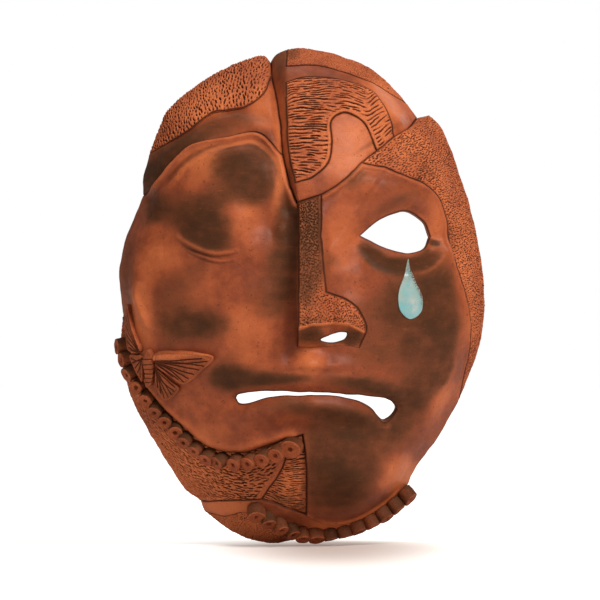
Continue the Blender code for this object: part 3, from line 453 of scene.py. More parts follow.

# Fire clouds, some of them partly painted shade: strength, centre x and z, reach across and up, turn in degrees
SMOKE_AND_SHADE = {
    "face_shell": [
        (0.9, -33, 74, 20, 15, 0), (0.85, -22, 70, 9, 17, 0), (0.7, -34, 59, 22, 8, 0),
        (0.97, -54, 40, 17, 16, -15), (0.8, -53, 33, 13, 9, 0), (0.55, -62, 47, 14, 12, 0),
        (0.9, -81, 50, 11, 11, -25), (0.5, -99, 15, 6, 22, 0), (0.92, -60, -17, 22, 13, -5),
        (0.5, -68, 2, 14, 14, 0), (0.4, -57, 16, 8, 4, 0), (0.9, -4, 44, 8, 22, 0),
        (0.8, -8, 20, 12, 26, 0), (0.5, -16, -4, 14, 14, 0), (0.94, -34, -48, 20, 7, -3),
        (0.8, -41, -48, 9, 8, 0), (0.6, -10, -47, 26, 4, 0), (0.35, -38, -37, 7, 5, 0),
        (0.8, 39, -51, 22, 6, -8), (0.6, 1, -64, 26, 6, -3), (0.85, 31, -72, 28, 10, -8),
        (0.75, 21, -82, 21, 8, 0), (0.7, 55, -77, 12, 12, 0), (0.95, 22, -106, 20, 20, 0),
        (0.6, 28, -90, 22, 12, 0), (0.5, 9, -100, 5, 24, 0), (0.8, 74, 2, 15, 20, 0),
        (0.85, 68, -14, 25, 28, -10), (0.65, 78, -34, 14, 28, -22), (0.7, 60, -60, 14, 20, -10),
        # The patches at z 18 to 24, under the open eye, are smoke and painted shade under its lower rim
        (0.55, 53, -4, 8, 16, 0), (0.9, 44, 24, 9, 6, -35), (0.95, 56, 18, 12, 6, -10),
        (0.95, 67, 18, 10, 6, 5), (0.5, 78, 24, 7, 8, 50), (0.5, 52, 51, 14, 4, 22),
        (0.3, 59, 61, 26, 8, -20), (0.6, 32, 68, 9, 6, 30), (0.4, 20, 20, 5, 5, 0),
        (0.35, 16, 20, 3, 20, 0), (0.8, -51, 40, 13, 14, 0), (0.5, 34, -94, 18, 16, 0),
        (0.35, -62, -84, 20, 6, -35), (0.45, 32, -10, 16, 12, 0), (0.5, 42, -33, 16, 11, 0),
    ],
    "brow_band": [
        (1.0, -80, 73, 20, 12, 35), (1.0, -88, 64, 11, 15, 0), (1.0, -72, 80, 17, 9, 38),
        (0.9, -62, 87, 14, 8, 35), (0.6, -46, 97, 18, 7, 12), (0.45, -28, 103, 16, 4, -5),
        (0.4, -22, 93, 12, 5, -25),
    ],
    "forehead_slab": [
        (0.75, -10, 137, 6, 11, 0), (0.3, -6, 108, 2, 23, 0), (0.4, -5, 64, 3, 16, 0),
        (0.5, 45, 89, 17, 2, 33),
        (0.4, 8, 122, 20, 6, 0),
    ],
    "nose": [
        (0.95, 6, 44, 14, 24, 0), (0.8, 5, 16, 10, 28, 0), (0.35, 16, -15, 17, 3, -3),
        (0.7, 5, -20, 9, 7, 0), (0.7, 32, -24, 8, 6, 0), (0.5, 16, -25, 16, 4, 0),
    ],
    "temple_band": [(0.5, 74, 70, 7, 3, -25), (0.35, 86, 32, 6, 12, 0), (0.3, 64, 80, 15, 2, -28)],
    "crown_band": [(0.6, -4, 140, 6, 6, 0)],
    "jaw_slab": [(0.2, -30, -108, 20, 4, 0)],
    "comb_wedge": [(0.5, -8, -119, 14, 5, -15), (0.4, 3, -100, 2, 22, 0)],
    "chin_slab": [(0.1, -30, -134, 24, 8, 0)],
}
# Warm patches, over all the slabs, in the same terms
WARMTH = [
    (0.75, 30, 85, 18, 22, 0), (0.35, 26, 34, 11, 20, 0), (0.1, 27, 4, 14, 20, 0),
    (0.35, -25, -24, 18, 18, 0), (0.45, -29, 42, 10, 13, 0), (0.8, -54, 76, 15, 12, 20),
    (0.6, -20, 109, 8, 13, 0), (0.8, -10, 66, 3, 19, -10), (0.5, -77, 20, 17, 9, 0),
    (0.7, -86, -9, 6, 20, 0), (0.7, 8, -37, 9, 8, 0), (0.8, 57, -101, 10, 12, 0),
    (0.8, 52, 110, 16, 12, -35), (1.0, -44, -122, 14, 5, 0), (0.5, 82, -52, 7, 20, -15),
    (0.9, -3, -107, 7, 16, 0), (0.5, 79, 50, 8, 29, 0), (0.4, -57, -78, 17, 8, 0),
    (0.8, 30, -134, 40, 5, 0), (0.5, -50, 112, 20, 10, 20), (0.4, 96, 20, 8, 40, 0),
    (0.5, 64, 84, 14, 12, 0), (0.6, -58, -100, 34, 18, -20), (0.6, -30, -136, 26, 9, 0),
    (0.9, -10, 88, 4, 30, 0),
]

# The rows of pierced rings
RING_RADIUS = 4.35
RING_LENGTH = 6.2
RING_HOLE = 1.25
RING_SIDES = 30
RING_SINKS = 2.6
RING_LIP = 0.7
END_RING = {"jaw": 1.3, "chin": 1.25}
JAW_LEAN = (-0.4, 0, -0.25)
JAW_LEAN_TURNED = (0.45, 0, -0.05)
CHIN_LEAN = (0.25, 0, -0.3)
CHIN_ASIDE = 0.85

# A lug's section, from its front around its hole: x as a share of half its width, and a share of its radius
LUG_PROFILE = [
    (-0.55, 1.0), (-0.85, 0.97), (-1.0, 0.86), (-1.0, 0.5), (-0.97, 0.36), (-0.6, 0.335),
    (0.6, 0.335), (0.97, 0.36), (1.0, 0.5), (1.0, 0.86), (0.85, 0.97), (0.55, 1.0),
]
LUG_SIDES = 36
LUG_EYE_DROP = 1.5

# The wire: a strand's radius, the length of one twist, and the half width of the bow between the lugs
WIRE_STRAND = 0.62
WIRE_TWIST = 7.0
WIRE_INNER = 22.5
WIRE_SIDES = 10
WIRE_INSIDE_BOX = 1.2
COIL_RADIUS = 1.75
COIL_LENGTH = 1.7
COIL_TURNS = 2.6

# The floor: half its width and its fall towards the camera, in metres
FLOOR_HALF = 14.0
FLOOR_FALL = 0.09
FLOOR_BELOW = 0.0004

# The view, in metres: what it faces, from how far, and how much of it the picture's width holds
TARGET = (0.0012, -0.02, -0.1438)
VIEW_DISTANCE = 8.0
VIEW_WIDTH = 0.348
SENSOR = 36
# The lights: place, size, energy and colour
LIGHTS = {
    "key": ((0.85, -1.35, 1.15), 0.85, 47, (1.0, 0.97, 0.92)),
    "fill": ((-1.6, -1.6, 0.5), 1.6, 7, (1.0, 0.95, 0.9)),
    "behind": ((1.2, 2.0, 0.5), 1.2, 9, (1.0, 0.96, 0.92)),
    "overhead": ((-0.1, 0.25, 1.5), 1.0, 9, (1.0, 0.95, 0.9)),
}
SURROUND_WARM = (1.0, 0.91, 0.82)
SURROUND_STRENGTH = 0.24

# Linear colours
FLOOR_PALE = (0.93, 0.925, 0.915)
FLOOR_GLOW = (1, 0.995, 0.985)
# The floor's painted shadow colour, under the chin
FLOOR_SHADE = (0.42, 0.345, 0.315)
WIRE_BRIGHT = (0.52, 0.51, 0.49)
WIRE_TARNISHED = (0.20, 0.15, 0.11)
WARM_CLAY = (0.47, 0.122, 0.040)
MID_CLAY = (0.285, 0.064, 0.022)
DEEP_CLAY = (0.15, 0.033, 0.014)
# The next two darken the fire clouds and the painted shade among them; the darkest also colours specks
SMOKE_AND_SHADE_BROWN = (0.120, 0.038, 0.0165)
NEAR_BLACK = (0.052, 0.0200, 0.0088)
# The next two: painted shade in the tool marks' dents, partly smoke, and a painted highlight on the clay beside
# them
PIT_DARK = (0.062, 0.016, 0.007)
BURR_HIGHLIGHT = (0.58, 0.185, 0.072)
GLAZE_PALE = (0.25, 0.33, 0.30)
GLAZE_DEEP = (0.125, 0.32, 0.34)
GLAZE_BLUSH = (0.45, 0.38, 0.33)


def catmull_rom(p, k, t):
    """Places at knots t on the span between the two middle points of four."""
    a = [(p[i] * (k[i + 1] - t) + p[i + 1] * (t - k[i])) / (k[i + 1] - k[i]) for i in range(3)]
    b = [(a[i] * (k[i + 2] - t) + a[i + 1] * (t - k[i])) / (k[i + 2] - k[i]) for i in range(2)]
    return (b[0] * (k[2] - t) + b[1] * (t - k[1])) / (k[2] - k[1])


def smooth_line(points, pitch):
    """A smooth line through the points, as places about one pitch apart. Both ends are kept."""
    p = np.array(points, float)
    if len(p) == 2:
        count = max(1, round(np.linalg.norm(p[1] - p[0]) / pitch))
        return p[0] + np.linspace(0, 1, count + 1)[:, None] * (p[1] - p[0])
    closed = np.allclose(p[0], p[-1])
    before = p[-2] if closed else 2 * p[0] - p[1]
    after = p[1] if closed else 2 * p[-1] - p[-2]
    q = np.vstack([before, p, after])
    knots = np.concatenate([[0], np.cumsum(np.sqrt(np.linalg.norm(np.diff(q, axis=0), axis=1)))])
    dense = []
    for i in range(1, len(q) - 2):
        t = np.linspace(knots[i], knots[i + 1], 60, endpoint=False)[:, None]
        dense.append(catmull_rom(q[i - 1:i + 3], knots[i - 1:i + 3], t))
    dense = np.vstack(dense + [p[-1:]])
    along = np.concatenate([[0], np.cumsum(np.linalg.norm(np.diff(dense, axis=0), axis=1))])
    count = max(2, round(along[-1] / pitch))
    even = np.linspace(0, along[-1], count + 1)
    return np.column_stack([np.interp(even, along, dense[:, k]) for k in (0, 1)])


def chained(names, pitch, slab=None):
    """One closed loop from named curves, and how far the slab's edge is rounded at each point."""
    parts, radii = [], []
    for name in names:
        plain = name.lstrip("-")
        line = smooth_line(CURVES[plain], pitch)
        parts.append((line[::-1] if name.startswith("-") else line)[:-1])
        usual = RIM_ROUND if plain.startswith("rim") else EDGE_ROUND
        radii.append(np.full(len(line) - 1, EDGE_ROUNDS.get((slab, plain), usual)))
    return np.vstack(parts), np.concatenate(radii)


def rim_table():
    """The rim's angles, ascending, and its radius at each."""
    rim, _ = chained(RIM_ORDER, 1.0)
    angles = np.arctan2(rim[:, 1], rim[:, 0])
    order = np.argsort(angles)
    return angles[order], np.hypot(rim[:, 0], rim[:, 1])[order]


RIM_ANGLES, RIM_RADII = rim_table()


def rim_at(xz):
    """For each place: its angle about the middle, the rim's radius there and the dome's slope at the rim."""
    angle = np.arctan2(xz[:, 1], xz[:, 0])
    radius = np.interp(angle, RIM_ANGLES, RIM_RADII, period=2 * math.pi)
    slope = np.radians(RIM_SLOPE - RIM_SLOPE_LEFT_EXTRA * np.cos(angle))
    return angle, radius, slope


def flattened(xz):
    """The drawn places unrolled from the dome, so that distances near the rim come out about true."""
    angle, radius, slope = rim_at(xz)
    share = np.clip(np.hypot(xz[:, 0], xz[:, 1]) / radius, 0, 1)
    reach = radius * np.arcsin(share * np.sin(slope)) / np.sin(slope)
    return np.column_stack([np.cos(angle), np.sin(angle)]) * reach[:, None]


def drawn(flat):
    """The inverse of flattened()."""
    angle, radius, slope = rim_at(flat)
    turn = np.clip(np.hypot(flat[:, 0], flat[:, 1]) * np.sin(slope) / radius, 0, slope)
    reach = radius * np.sin(turn) / np.sin(slope)
    return np.column_stack([np.cos(angle), np.sin(angle)]) * reach[:, None]


def unit(rows):
    """Each row at a length of one."""
    return rows / np.linalg.norm(rows, axis=-1, keepdims=True)


def hump(value, middle, half):
    """A smooth bump, 1 at its middle and about gone two half widths away."""
    return np.exp(-((value - middle) / half) ** 2)


def eased(low, high, value):
    """0 at low, 1 at high, with a smooth start and end."""
    t = np.clip((value - low) / (high - low), 0, 1)
    return t * t * (3 - 2 * t)


def point_at(xz, height):
    """Places at a height over the dome. None goes past the wall plane, and the rim lies in it."""
    angle, radius, slope = rim_at(xz)
    share = np.clip(np.hypot(xz[:, 0], xz[:, 1]) / radius, 0, 1)
    turn = np.arcsin(share * np.sin(slope))
    depth = -DOME_DEPTH * (np.cos(turn) - np.cos(slope)) / (1 - np.cos(slope))
    steepness = DOME_DEPTH / radius * np.tan(turn) * np.sin(slope) / (1 - np.cos(slope))
    lean = steepness * eased(0.4, 1.0, share)
    length = np.sqrt(1 + lean * lean)
    out = np.column_stack([np.cos(angle) * lean, -np.ones(len(xz)), np.sin(angle) * lean]) / length[:, None]
    place = np.column_stack([xz[:, 0], depth, xz[:, 1]]) + out * np.asarray(height)[:, None]
    place[:, 0] += HAND_WOBBLE * layered(xz, 7, 61, 2)
    place[:, 2] += HAND_WOBBLE * layered(xz, 7, 66, 2)
    place[:, 1] = np.where(share > RIM_SHARE, 0, np.minimum(place[:, 1], 0))
    return place


def turned(x, z, turn):
    """Distances across and up, as seen from axes that are turned by some degrees."""
    c, s = math.cos(math.radians(turn)), math.sin(math.radians(turn))
    return x * c + z * s, z * c - x * s


def blob(x, z, height, cx, cz, rx, rz, turn):
    """A soft hill, at full height in its middle."""
    across, up = turned(x - cx, z - cz, turn)
    return height * np.exp(-(across / rx) ** 2 - (up / rz) ** 2)


def patch(xz, drift, strength, cx, cz, rx, rz, turn):
    """A patch with a soft edge that strays by a share of its own size."""
    stray = 0.3 * min(rx, rz, 16)
    across, up = turned(xz[:, 0] - cx + stray * drift[0], xz[:, 1] - cz + stray * drift[1], turn)
    return strength * (1 - eased(0.25, 1.5, np.hypot(across / rx, up / rz)))


def near_line(xz, line, reach):
    """Which places lie in the line's own box, widened by a reach."""
    return ((xz > line.min(0) - reach) & (xz < line.max(0) + reach)).all(1)


def tapered(along):
    """1 in the middle of a line, falling to 0 at both its ends, from how far along it a place is."""
    return np.sqrt(np.clip(4 * along * (1 - along), 0, 1))


def streak(xz, drift, strength, half, points):
    """A soft band along a line, thinning out towards both ends of it."""
    share = np.zeros(len(xz))
    line = smooth_line(points, 2.0)
    near = near_line(xz, line, 2 * half)
    gap, along = far_from(line, xz[near])
    gap = gap + 0.35 * half * drift[0][near]
    share[near] = strength * tapered(along) * (1 - eased(0.35 * half, 1.4 * half, gap))
    return share


def noise(xz, scale, seed):
    """Smooth noise from -1 to 1, with features about one scale across."""
    side = 64
    lattice = np.random.default_rng(seed).uniform(-1, 1, (side, side))
    u = xz / scale
    cell = np.floor(u).astype(int)
    t = u - cell
    t = t * t * (3 - 2 * t)
    i, j = cell[:, 0] % side, cell[:, 1] % side
    ahead, above = (i + 1) % side, (j + 1) % side
    low = lattice[i, j] * (1 - t[:, 0]) + lattice[ahead, j] * t[:, 0]
    high = lattice[i, above] * (1 - t[:, 0]) + lattice[ahead, above] * t[:, 0]
    return low * (1 - t[:, 1]) + high * t[:, 1]


def layered(xz, scale, seed, octaves=3):
    """Noise at one scale, with finer and weaker noise added to it."""
    return sum(noise(xz, scale / 2 ** k, seed + k) / 2 ** k for k in range(octaves)) / 1.5


def tree_of(points):
    """A search tree over places on the drawing."""
    tree = KDTree(len(points))
    for i, (a, b) in enumerate(points):
        tree.insert((a, b, 0), i)
    tree.balance()
    return tree


def nearest(tree, points):
    """For each place, how far the tree's nearest point is and which one it is."""
    found = [tree.find((a, b, 0)) for a, b in points.tolist()]
    return np.array([f[2] for f in found]), np.array([f[1] for f in found])


def far_from(line, xz):
    """How far each place is from an open line, and how far along it the nearest point is, 0 to 1."""
    start, step = line[:-1], np.diff(line, axis=0)
    away = xz[:, None, :] - start[None]
    t = np.clip((away * step).sum(2) / (step * step).sum(1), 0, 1)
    gap = np.sqrt(((away - t[..., None] * step) ** 2).sum(2))
    best = gap.argmin(1)
    rows = np.arange(len(xz))
    return gap[rows, best], (best + t[rows, best]) / len(step)


def nose_lip(x):
    """The height on the drawing at which the nose's front turns under."""
    return np.interp(x, *np.array(NOSE_UNDER).T)


def nose_under(x, z):
    """1 on the nose's front, falling to 0 at its foot: the slope of its underside."""
    return np.clip((z - NOSE_FOOT_Z) / (nose_lip(x) - NOSE_FOOT_Z), 0, 1) ** 0.85


def nose_mass(x, z):
    """The half nose: a ridge that grows towards its tip, and its one wing."""
    grown = np.clip((NOSE_TOP_Z - z) / 73, 0, 1) ** 1.15
    ridge = NOSE_HEIGHT * grown * (1 - eased(8, 21, x))
    return (ridge + blob(x, z, *NOSE_WING)) * nose_under(x, z)


def half_step(x, z):
    """The rise from the left half of the brow to the right half, gone below the nose."""
    foot = np.interp(z, WALL_Z, WALL_FOOT_X)
    head = np.interp(z, WALL_Z, WALL_HEAD_X)
    t = np.clip((x - foot) / (head - foot), 0, 1)
    rise = 0.6 * t + 0.4 * eased(0, 1, t)
    return HALF_STEP * rise * eased(-28, 15, z) * (1 - eased(40, 95, x))


def lips(x, z):
    """Lips either side of the mouth line, over the muzzle's own swelling."""
    line = LIP_Z - np.where(x > 5, 0.004, 0.002) * (x - 5) ** 2
    above = z - line
    upper = eased(0, 13, above) * (1 - eased(15, 26, above))
    return LIP_RISE * (upper + hump(above, -7.5, 5)) * np.exp(-((x - 6) / 42) ** 4)


def fade_at_rim(xz):
    """1 over most of the mask, falling to 0 at the rim."""
    _, radius, _ = rim_at(xz)
    return 1 - eased(0.86, 0.995, np.hypot(xz[:, 0], xz[:, 1]) / radius)


def loop_of(*lines, pitch=LINE_PITCH):
    """One closed loop from lines that meet end to end, or from one list of corners that isn't closed."""
    if len(lines) == 1:
        lines = [lines[0] + lines[0][:1]]
    return np.vstack([smooth_line(line, pitch)[:-1] for line in lines])


EYE_LOOP = loop_of(EYE_TOP, EYE_FOOT)
MOUTH_LOOP = loop_of(MOUTH_TOP, MOUTH_FOOT)
NOSTRIL_LOOP = loop_of(NOSTRIL)
TEAR_LOOP = loop_of(TEAR)
HOLES = {"face_shell": [EYE_LOOP, MOUTH_LOOP], "nose": [NOSTRIL_LOOP]}
EYE_TREE = tree_of(EYE_LOOP)
MOUTH_TREE = tree_of(MOUTH_LOOP)
FOLD_LINES = {
    slab: [(height, width, smooth_line(points, 1.0)) for height, width, points in rows]
    for slab, rows in (("face_shell", FOLDS), ("brow_band", BROW_FOLDS))
}


def folds(slab, xz):
    """Creases and ridges of a slab, each fading out at its ends."""
    total = np.zeros(len(xz))
    for height, width, line in FOLD_LINES[slab]:
        near = near_line(xz, line, 4 * width)
        if near.any():
            gap, along = far_from(line, xz[near])
            total[near] += height * hump(gap, 0, width) * tapered(along)
    return total


def sculpted(slab, xz):
    """Height of a slab's face over the dome, before its edges are rounded and its marks pressed in."""
    x, z = xz[:, 0], xz[:, 1]
    height = sum(blob(x, z, *row) for row in SWELLINGS) + lips(x, z) + half_step(x, z)
    height = height + 0.5 * layered(xz, 19, 40) + 0.16 * layered(xz, 5, 50)
    if slab == "nose":
        height = height + nose_mass(x, z)
    if slab in FOLD_LINES:
        height = height + folds(slab, xz)
    if slab == "face_shell":
        height = height + nose_mass(x, z) * eased(4, 12, x) + sum(blob(x, z, *row) for row in DETAILS)
        eye, _ = nearest(EYE_TREE, xz)
        mouth, _ = nearest(MOUTH_TREE, xz)
        below = eased(38, 26, z) * eased(34, 44, x)
        rims = [(EYE_RIM, eye, 1), (MOUTH_RIM, mouth, 1)] + [(bag, eye, below) for bag in EYE_BAGS]
        for (rise, out, half), gap, share in rims:
            height = height + rise * hump(gap, out, half) * share
    return (height + SLABS[slab][1]) * fade_at_rim(xz)


def back_height(slab, xz):
    """Height of a slab's back, which follows the front loosely, as a slab pressed by hand does."""
    x, z = xz[:, 0], xz[:, 1]
    loose = 0.85 * sum(blob(x, z, *row) for row in SWELLINGS if row[0] > 4) + half_step(x, z)
    if slab in ("nose", "face_shell"):
        loose = loose + 0.55 * nose_mass(x, z) * (1 if slab == "nose" else eased(4, 12, x))
    loose = loose + 0.8 * layered(xz, 16, 70) + 0.25 * layered(xz, 5, 80)
    return loose * fade_at_rim(xz) - CLAY


def surface(slab, xz, over=0.0):
    """Places on a slab's face, or a little over it."""
    return point_at(xz, sculpted(slab, xz) + over)


def outward(slab, xz):
    """A slab's own outward direction at each place."""
    step = 1.5
    across = surface(slab, xz + [step, 0]) - surface(slab, xz - [step, 0])
    up = surface(slab, xz + [0, step]) - surface(slab, xz - [0, step])
    return unit(np.cross(across, up))


def signed_area(loop):
    """The area in a closed loop, below zero where it runs clockwise."""
    ax, az = loop[:, 0], loop[:, 1]
    return 0.5 * (ax * np.roll(az, -1) - np.roll(ax, -1) * az).sum()


def wound(loop, hole=False):
    """The closed line run anticlockwise, or clockwise round a hole."""
    return loop if (signed_area(loop) > 0) != hole else loop[::-1]


def inset(loop, amount):
    """The closed line moved towards its left-hand side."""
    ahead = unit(np.roll(loop, -1, axis=0) - loop)
    side = np.column_stack([-ahead[:, 1], ahead[:, 0]])
    corner = side + np.roll(side, 1, axis=0)
    share = np.maximum((corner * corner).sum(1) / 2, 0.5)
    return loop + corner / share[:, None] * amount


def crossings(loops, z):
    """Where a level line crosses the closed loops, in order."""
    found = []
    for loop in loops:
        ahead = np.roll(loop, -1, axis=0)
        cut = (loop[:, 1] > z) != (ahead[:, 1] > z)
        a, b = loop[cut], ahead[cut]
        found.append(a[:, 0] + (z - a[:, 1]) * (b[:, 0] - a[:, 0]) / (b[:, 1] - a[:, 1]))
    return np.sort(np.concatenate(found))


def grid_in(loops, pitch):
    """A staggered grid of places inside the first loop and outside the others."""
    low, high = loops[0].min(0), loops[0].max(0)
    rows = []
    for k, z in enumerate(np.arange(low[1] + 0.37 * pitch, high[1], pitch * math.sqrt(0.75))):
        columns = np.arange(low[0] + pitch / 2 * (k % 2), high[0], pitch)
        held = columns[np.searchsorted(crossings(loops, z), columns) % 2 == 1]
        rows.append(np.column_stack([held, np.full(len(held), z)]))
    return np.vstack(rows)


def inside(loops, points, step=0.0):
    """Which places lie inside the first loop and outside the others.

    With a step, all the places in a band of heights are judged at the band's middle."""
    levels = (np.floor(points[:, 1] / step) + 0.5) * step if step else points[:, 1]
    held_in = np.zeros(len(points), bool)
    for level in np.unique(levels):
        held = levels == level
        held_in[held] = np.searchsorted(crossings(loops, level), points[held, 0]) % 2 == 1
    return held_in


def filled(loops, pitch, rows=()):
    """Triangles between the loops, on the loops' own points, rows just inside them and a staggered grid.

    Also how far each point is from the loops, and the nearest point on them."""
    line = np.vstack(loops)
    tree = tree_of(line)
    grid = grid_in(loops, pitch)
    clear, at = nearest(tree, grid)
    reach = rows[-1] + 0.5 * pitch if rows else 0.6 * pitch
    keep = clear > reach
    parts = [line, grid[keep]]
    gaps = [np.zeros(len(line)), clear[keep]]
    ids = [np.arange(len(line)), at[keep]]
    for amount in rows:
        for loop in loops:
            row = inset(loop, amount)
            gap, near = nearest(tree, row)
            good = (gap > 0.9 * amount) & inside(loops, row)
            parts.append(row[good])
            gaps.append(gap[good])
            ids.append(near[good])
    edges, first = [], 0
    for loop in loops:
        count = len(loop)
        edges += [(first + i, first + (i + 1) % count) for i in range(count)]
        first += count
    points = np.vstack(parts)
    made = delaunay_2d_cdt([Vector(p) for p in points], edges, [], 0, 1e-7)
    triangles = np.array(made[2])
    doubtful = np.flatnonzero((triangles < len(line)).all(1))
    keep = np.ones(len(triangles), bool)
    keep[doubtful] = inside(loops, points[triangles[doubtful]].mean(1))
    triangles = triangles[keep]
    a, b, c = (points[triangles[:, k]] for k in range(3))
    flipped = (b[:, 0] - a[:, 0]) * (c[:, 1] - a[:, 1]) < (b[:, 1] - a[:, 1]) * (c[:, 0] - a[:, 0])
    triangles[flipped] = triangles[flipped][:, ::-1]
    return points, triangles, np.concatenate(gaps), np.concatenate(ids)


def placed(points):
    """Drawn places, in the frame's metres."""
    return (np.asarray(points, float) - DRAWN_MOUNT) * 0.001 + MOUNT


def on_drawing(place):
    """A place in the frame, in drawn millimetres."""
    return (np.array(place) - MOUNT) * 1000 + DRAWN_MOUNT


def box_of(node):
    """The lowest and the highest corner of a CAD node's box, on the drawing."""
    return [on_drawing(corner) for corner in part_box(node)]


def add_piece(name, points, faces, finish_and_painted_light, look, body, node):
    """A mesh piece from drawn points, with its finish values, on a CAD body in place of a CAD node."""
    mesh = bpy.data.meshes.new(name)
    mesh.from_pydata(placed(points).tolist(), [], faces)
    mesh.materials.append(look)
    # The attribute holds smoke with painted shade, warmth with painted highlights, and pit with painted shade and
    # highlights
    layer = mesh.attributes.new("finish_and_painted_light", "FLOAT_VECTOR", "POINT")
    layer.data.foreach_set("vector", np.asarray(finish_and_painted_light, np.float32).ravel())
    made = bpy.data.objects.new(name, mesh)
    bpy.context.scene.collection.objects.link(made)
    mesh.shade_smooth()
    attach(made, body)
    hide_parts(node)


def bands(first, count, sides, closed=False):
    """Quads between rings of points that follow one another, and from the last to the first when closed."""
    faces = []
    s = np.arange(sides)
    for k in range(count if closed else count - 1):
        a, b = first + k * sides, first + (k + 1) % count * sides
        ahead = (s + 1) % sides
        faces += np.column_stack([a + s, a + ahead, b + ahead, b + s]).tolist()
    return faces


def add_closed(name, loops, front, back, look, node, pitted_walls=1):
    """A closed piece: its front and its back, each with places, triangles and finish, and walls between."""
    (place, faces, finish_and_painted_light), (back_place, back_faces, back_finish) = front, back
    line = sum(len(loop) for loop in loops)
    drop = back_place[:line] - place[:line]
    points = np.vstack([place, back_place] + [place[:line] + drop * t for t in WALL_LEVELS])
    finish_and_painted_light = np.vstack([finish_and_painted_light, back_finish] + [finish_and_painted_light[:line] * [1, 1, pitted_walls]] * len(WALL_LEVELS))
    offset = len(place)
    faces = faces.tolist() + (back_faces[:, ::-1] + offset).tolist()
    walls = [len(place) + len(back_place) + k * line for k in range(len(WALL_LEVELS))]
    levels = [0] + walls + [offset]
    first = 0
    for loop in loops:
        i = first + np.arange(len(loop))
        j = np.roll(i, -1)
        for upper, lower in zip(levels, levels[1:]):
            faces += np.column_stack([i + upper, i + lower, j + lower, j + upper]).tolist()
        first += len(loop)
    add_piece(name, points, faces, finish_and_painted_light, look, "shell", node)


def share_of(values):
    """Values kept between 0 and 1."""
    return np.clip(values, 0, 1)


def smoke_and_shade_at(slab, xz):
    """How smoked the clay is, 0 to 1, from the slab's fire clouds, with the painted shade among them."""
    drift = layered(xz, 15, 11), layered(xz, 15, 21)
    left = np.ones(len(xz))
    for row in SMOKE_AND_SHADE.get(slab, []):
        left = left * (1 - patch(xz, drift, *row))
    for row in SMOKE_AND_SHADE_LINES if slab == "face_shell" else ():
        left = left * (1 - streak(xz, drift, *row))
    # The painted highlight lines thin the smoke
    for row in PAINTED_HIGHLIGHT_LINES if slab == "face_shell" else ():
        left = 1 - (1 - left) * (1 - 0.6 * streak(xz, drift, *row))
    return (1 - left) * (0.95 + 0.16 * layered(xz, 8, 51))


def warmth_and_highlight_at(xz):
    """How orange the clay is, 0 to 1, with the painted highlight lines added to it."""
    drift = layered(xz, 15, 31), layered(xz, 15, 41)
    left = np.ones(len(xz))
    for row in WARMTH:
        left = left * (1 - patch(xz, drift, *row))
    for row in PAINTED_HIGHLIGHT_LINES:
        left = left * (1 - streak(xz, drift, *row))
    return 1 - left


def empty_sheet(loop):
    """A raster over a slab's flattened outline that tool marks are pressed into."""
    low = loop.min(0) - 3
    size = np.ceil((loop.max(0) + 3 - low) / CELL).astype(int)
    return {"low": low, "dent": np.zeros(size)}


def press(sheet, places, widths, depths):
    """Presses round dents into a sheet, each with its own width and depth."""
    dent = sheet["dent"].ravel()
    rows, columns = sheet["dent"].shape
    at = (places - sheet["low"]) / CELL
    cell = np.round(at).astype(int)
    span = math.ceil(np.max(widths) / 2 / CELL) + 1
    for du in range(-span, span + 1):
        for dv in range(-span, span + 1):
            u, v = cell[:, 0] + du, cell[:, 1] + dv
            away = np.hypot(u - at[:, 0], v - at[:, 1]) * CELL * 2 / widths
            good = (away < 1) & (u >= 0) & (v >= 0) & (u < rows) & (v < columns)
            value = depths * (1 - np.minimum(away, 1) ** 2) ** 0.7
            np.maximum.at(dent, (u * columns + v)[good], value[good])


def engrave(sheet, line, width, depth):
    """Presses a groove of one width and depth along a flattened line."""
    press(sheet, line, np.full(len(line), width), np.full(len(line), depth))


def sample(sheet, places):
    """The sheet's dent at each place, read between its cells."""
    rows, columns = sheet["dent"].shape
    at = (places - sheet["low"]) / CELL
    i = np.clip(np.floor(at).astype(int), 0, [rows - 2, columns - 2])
    t = np.clip(at - i, 0, 1)
    d = sheet["dent"]
    low = d[i[:, 0], i[:, 1]] * (1 - t[:, 0]) + d[i[:, 0] + 1, i[:, 1]] * t[:, 0]
    high = d[i[:, 0], i[:, 1] + 1] * (1 - t[:, 0]) + d[i[:, 0] + 1, i[:, 1] + 1] * t[:, 0]
    return low * (1 - t[:, 1]) + high * t[:, 1]


def heading_of(slab, flat, chance, stray):
    """The direction, in radians, that marks run in at each flattened place."""
    xz = drawn(flat)
    x, z = xz.T
    axis, at, turns = HEADINGS.get(slab, (0, [0], [90]))
    degrees = np.interp(xz[:, axis], at, turns)
    if slab == "comb_panel":
        degrees = degrees * np.where(x < 0, np.interp(z, [95, 112], [0, 1]), 1)
    elif slab == "comb_wedge":
        degrees = degrees + 0.25 * (z + 105)
    return np.radians(degrees + chance.normal(0, 1, len(x)) * stray)


def scattered(loop, across, along, slab, chance):
    """Places in the flattened outline, no two closer than the spacings across and along the marks."""
    low, high = loop.min(0), loop.max(0)
    area = abs(signed_area(loop))
    wanted = int(9 * area / (across * along))
    tries = chance.uniform(low, high, (int(wanted * np.prod(high - low) / area), 2))
    tries = tries[inside([loop], tries, 0.25)]
    heading = heading_of(slab, tries, chance, 0)
    ahead = np.column_stack([np.cos(heading), np.sin(heading)])
    kept = np.zeros((len(tries), 2))
    count = 0
    for place, (c, s) in zip(tries, ahead):
        away = kept[:count] - place
        u = (away[:, 0] * c + away[:, 1] * s) / along
        v = (away[:, 1] * c - away[:, 0] * s) / across
        if not (u * u + v * v < 1).any():
            kept[count] = place
            count += 1
    return kept[:count]


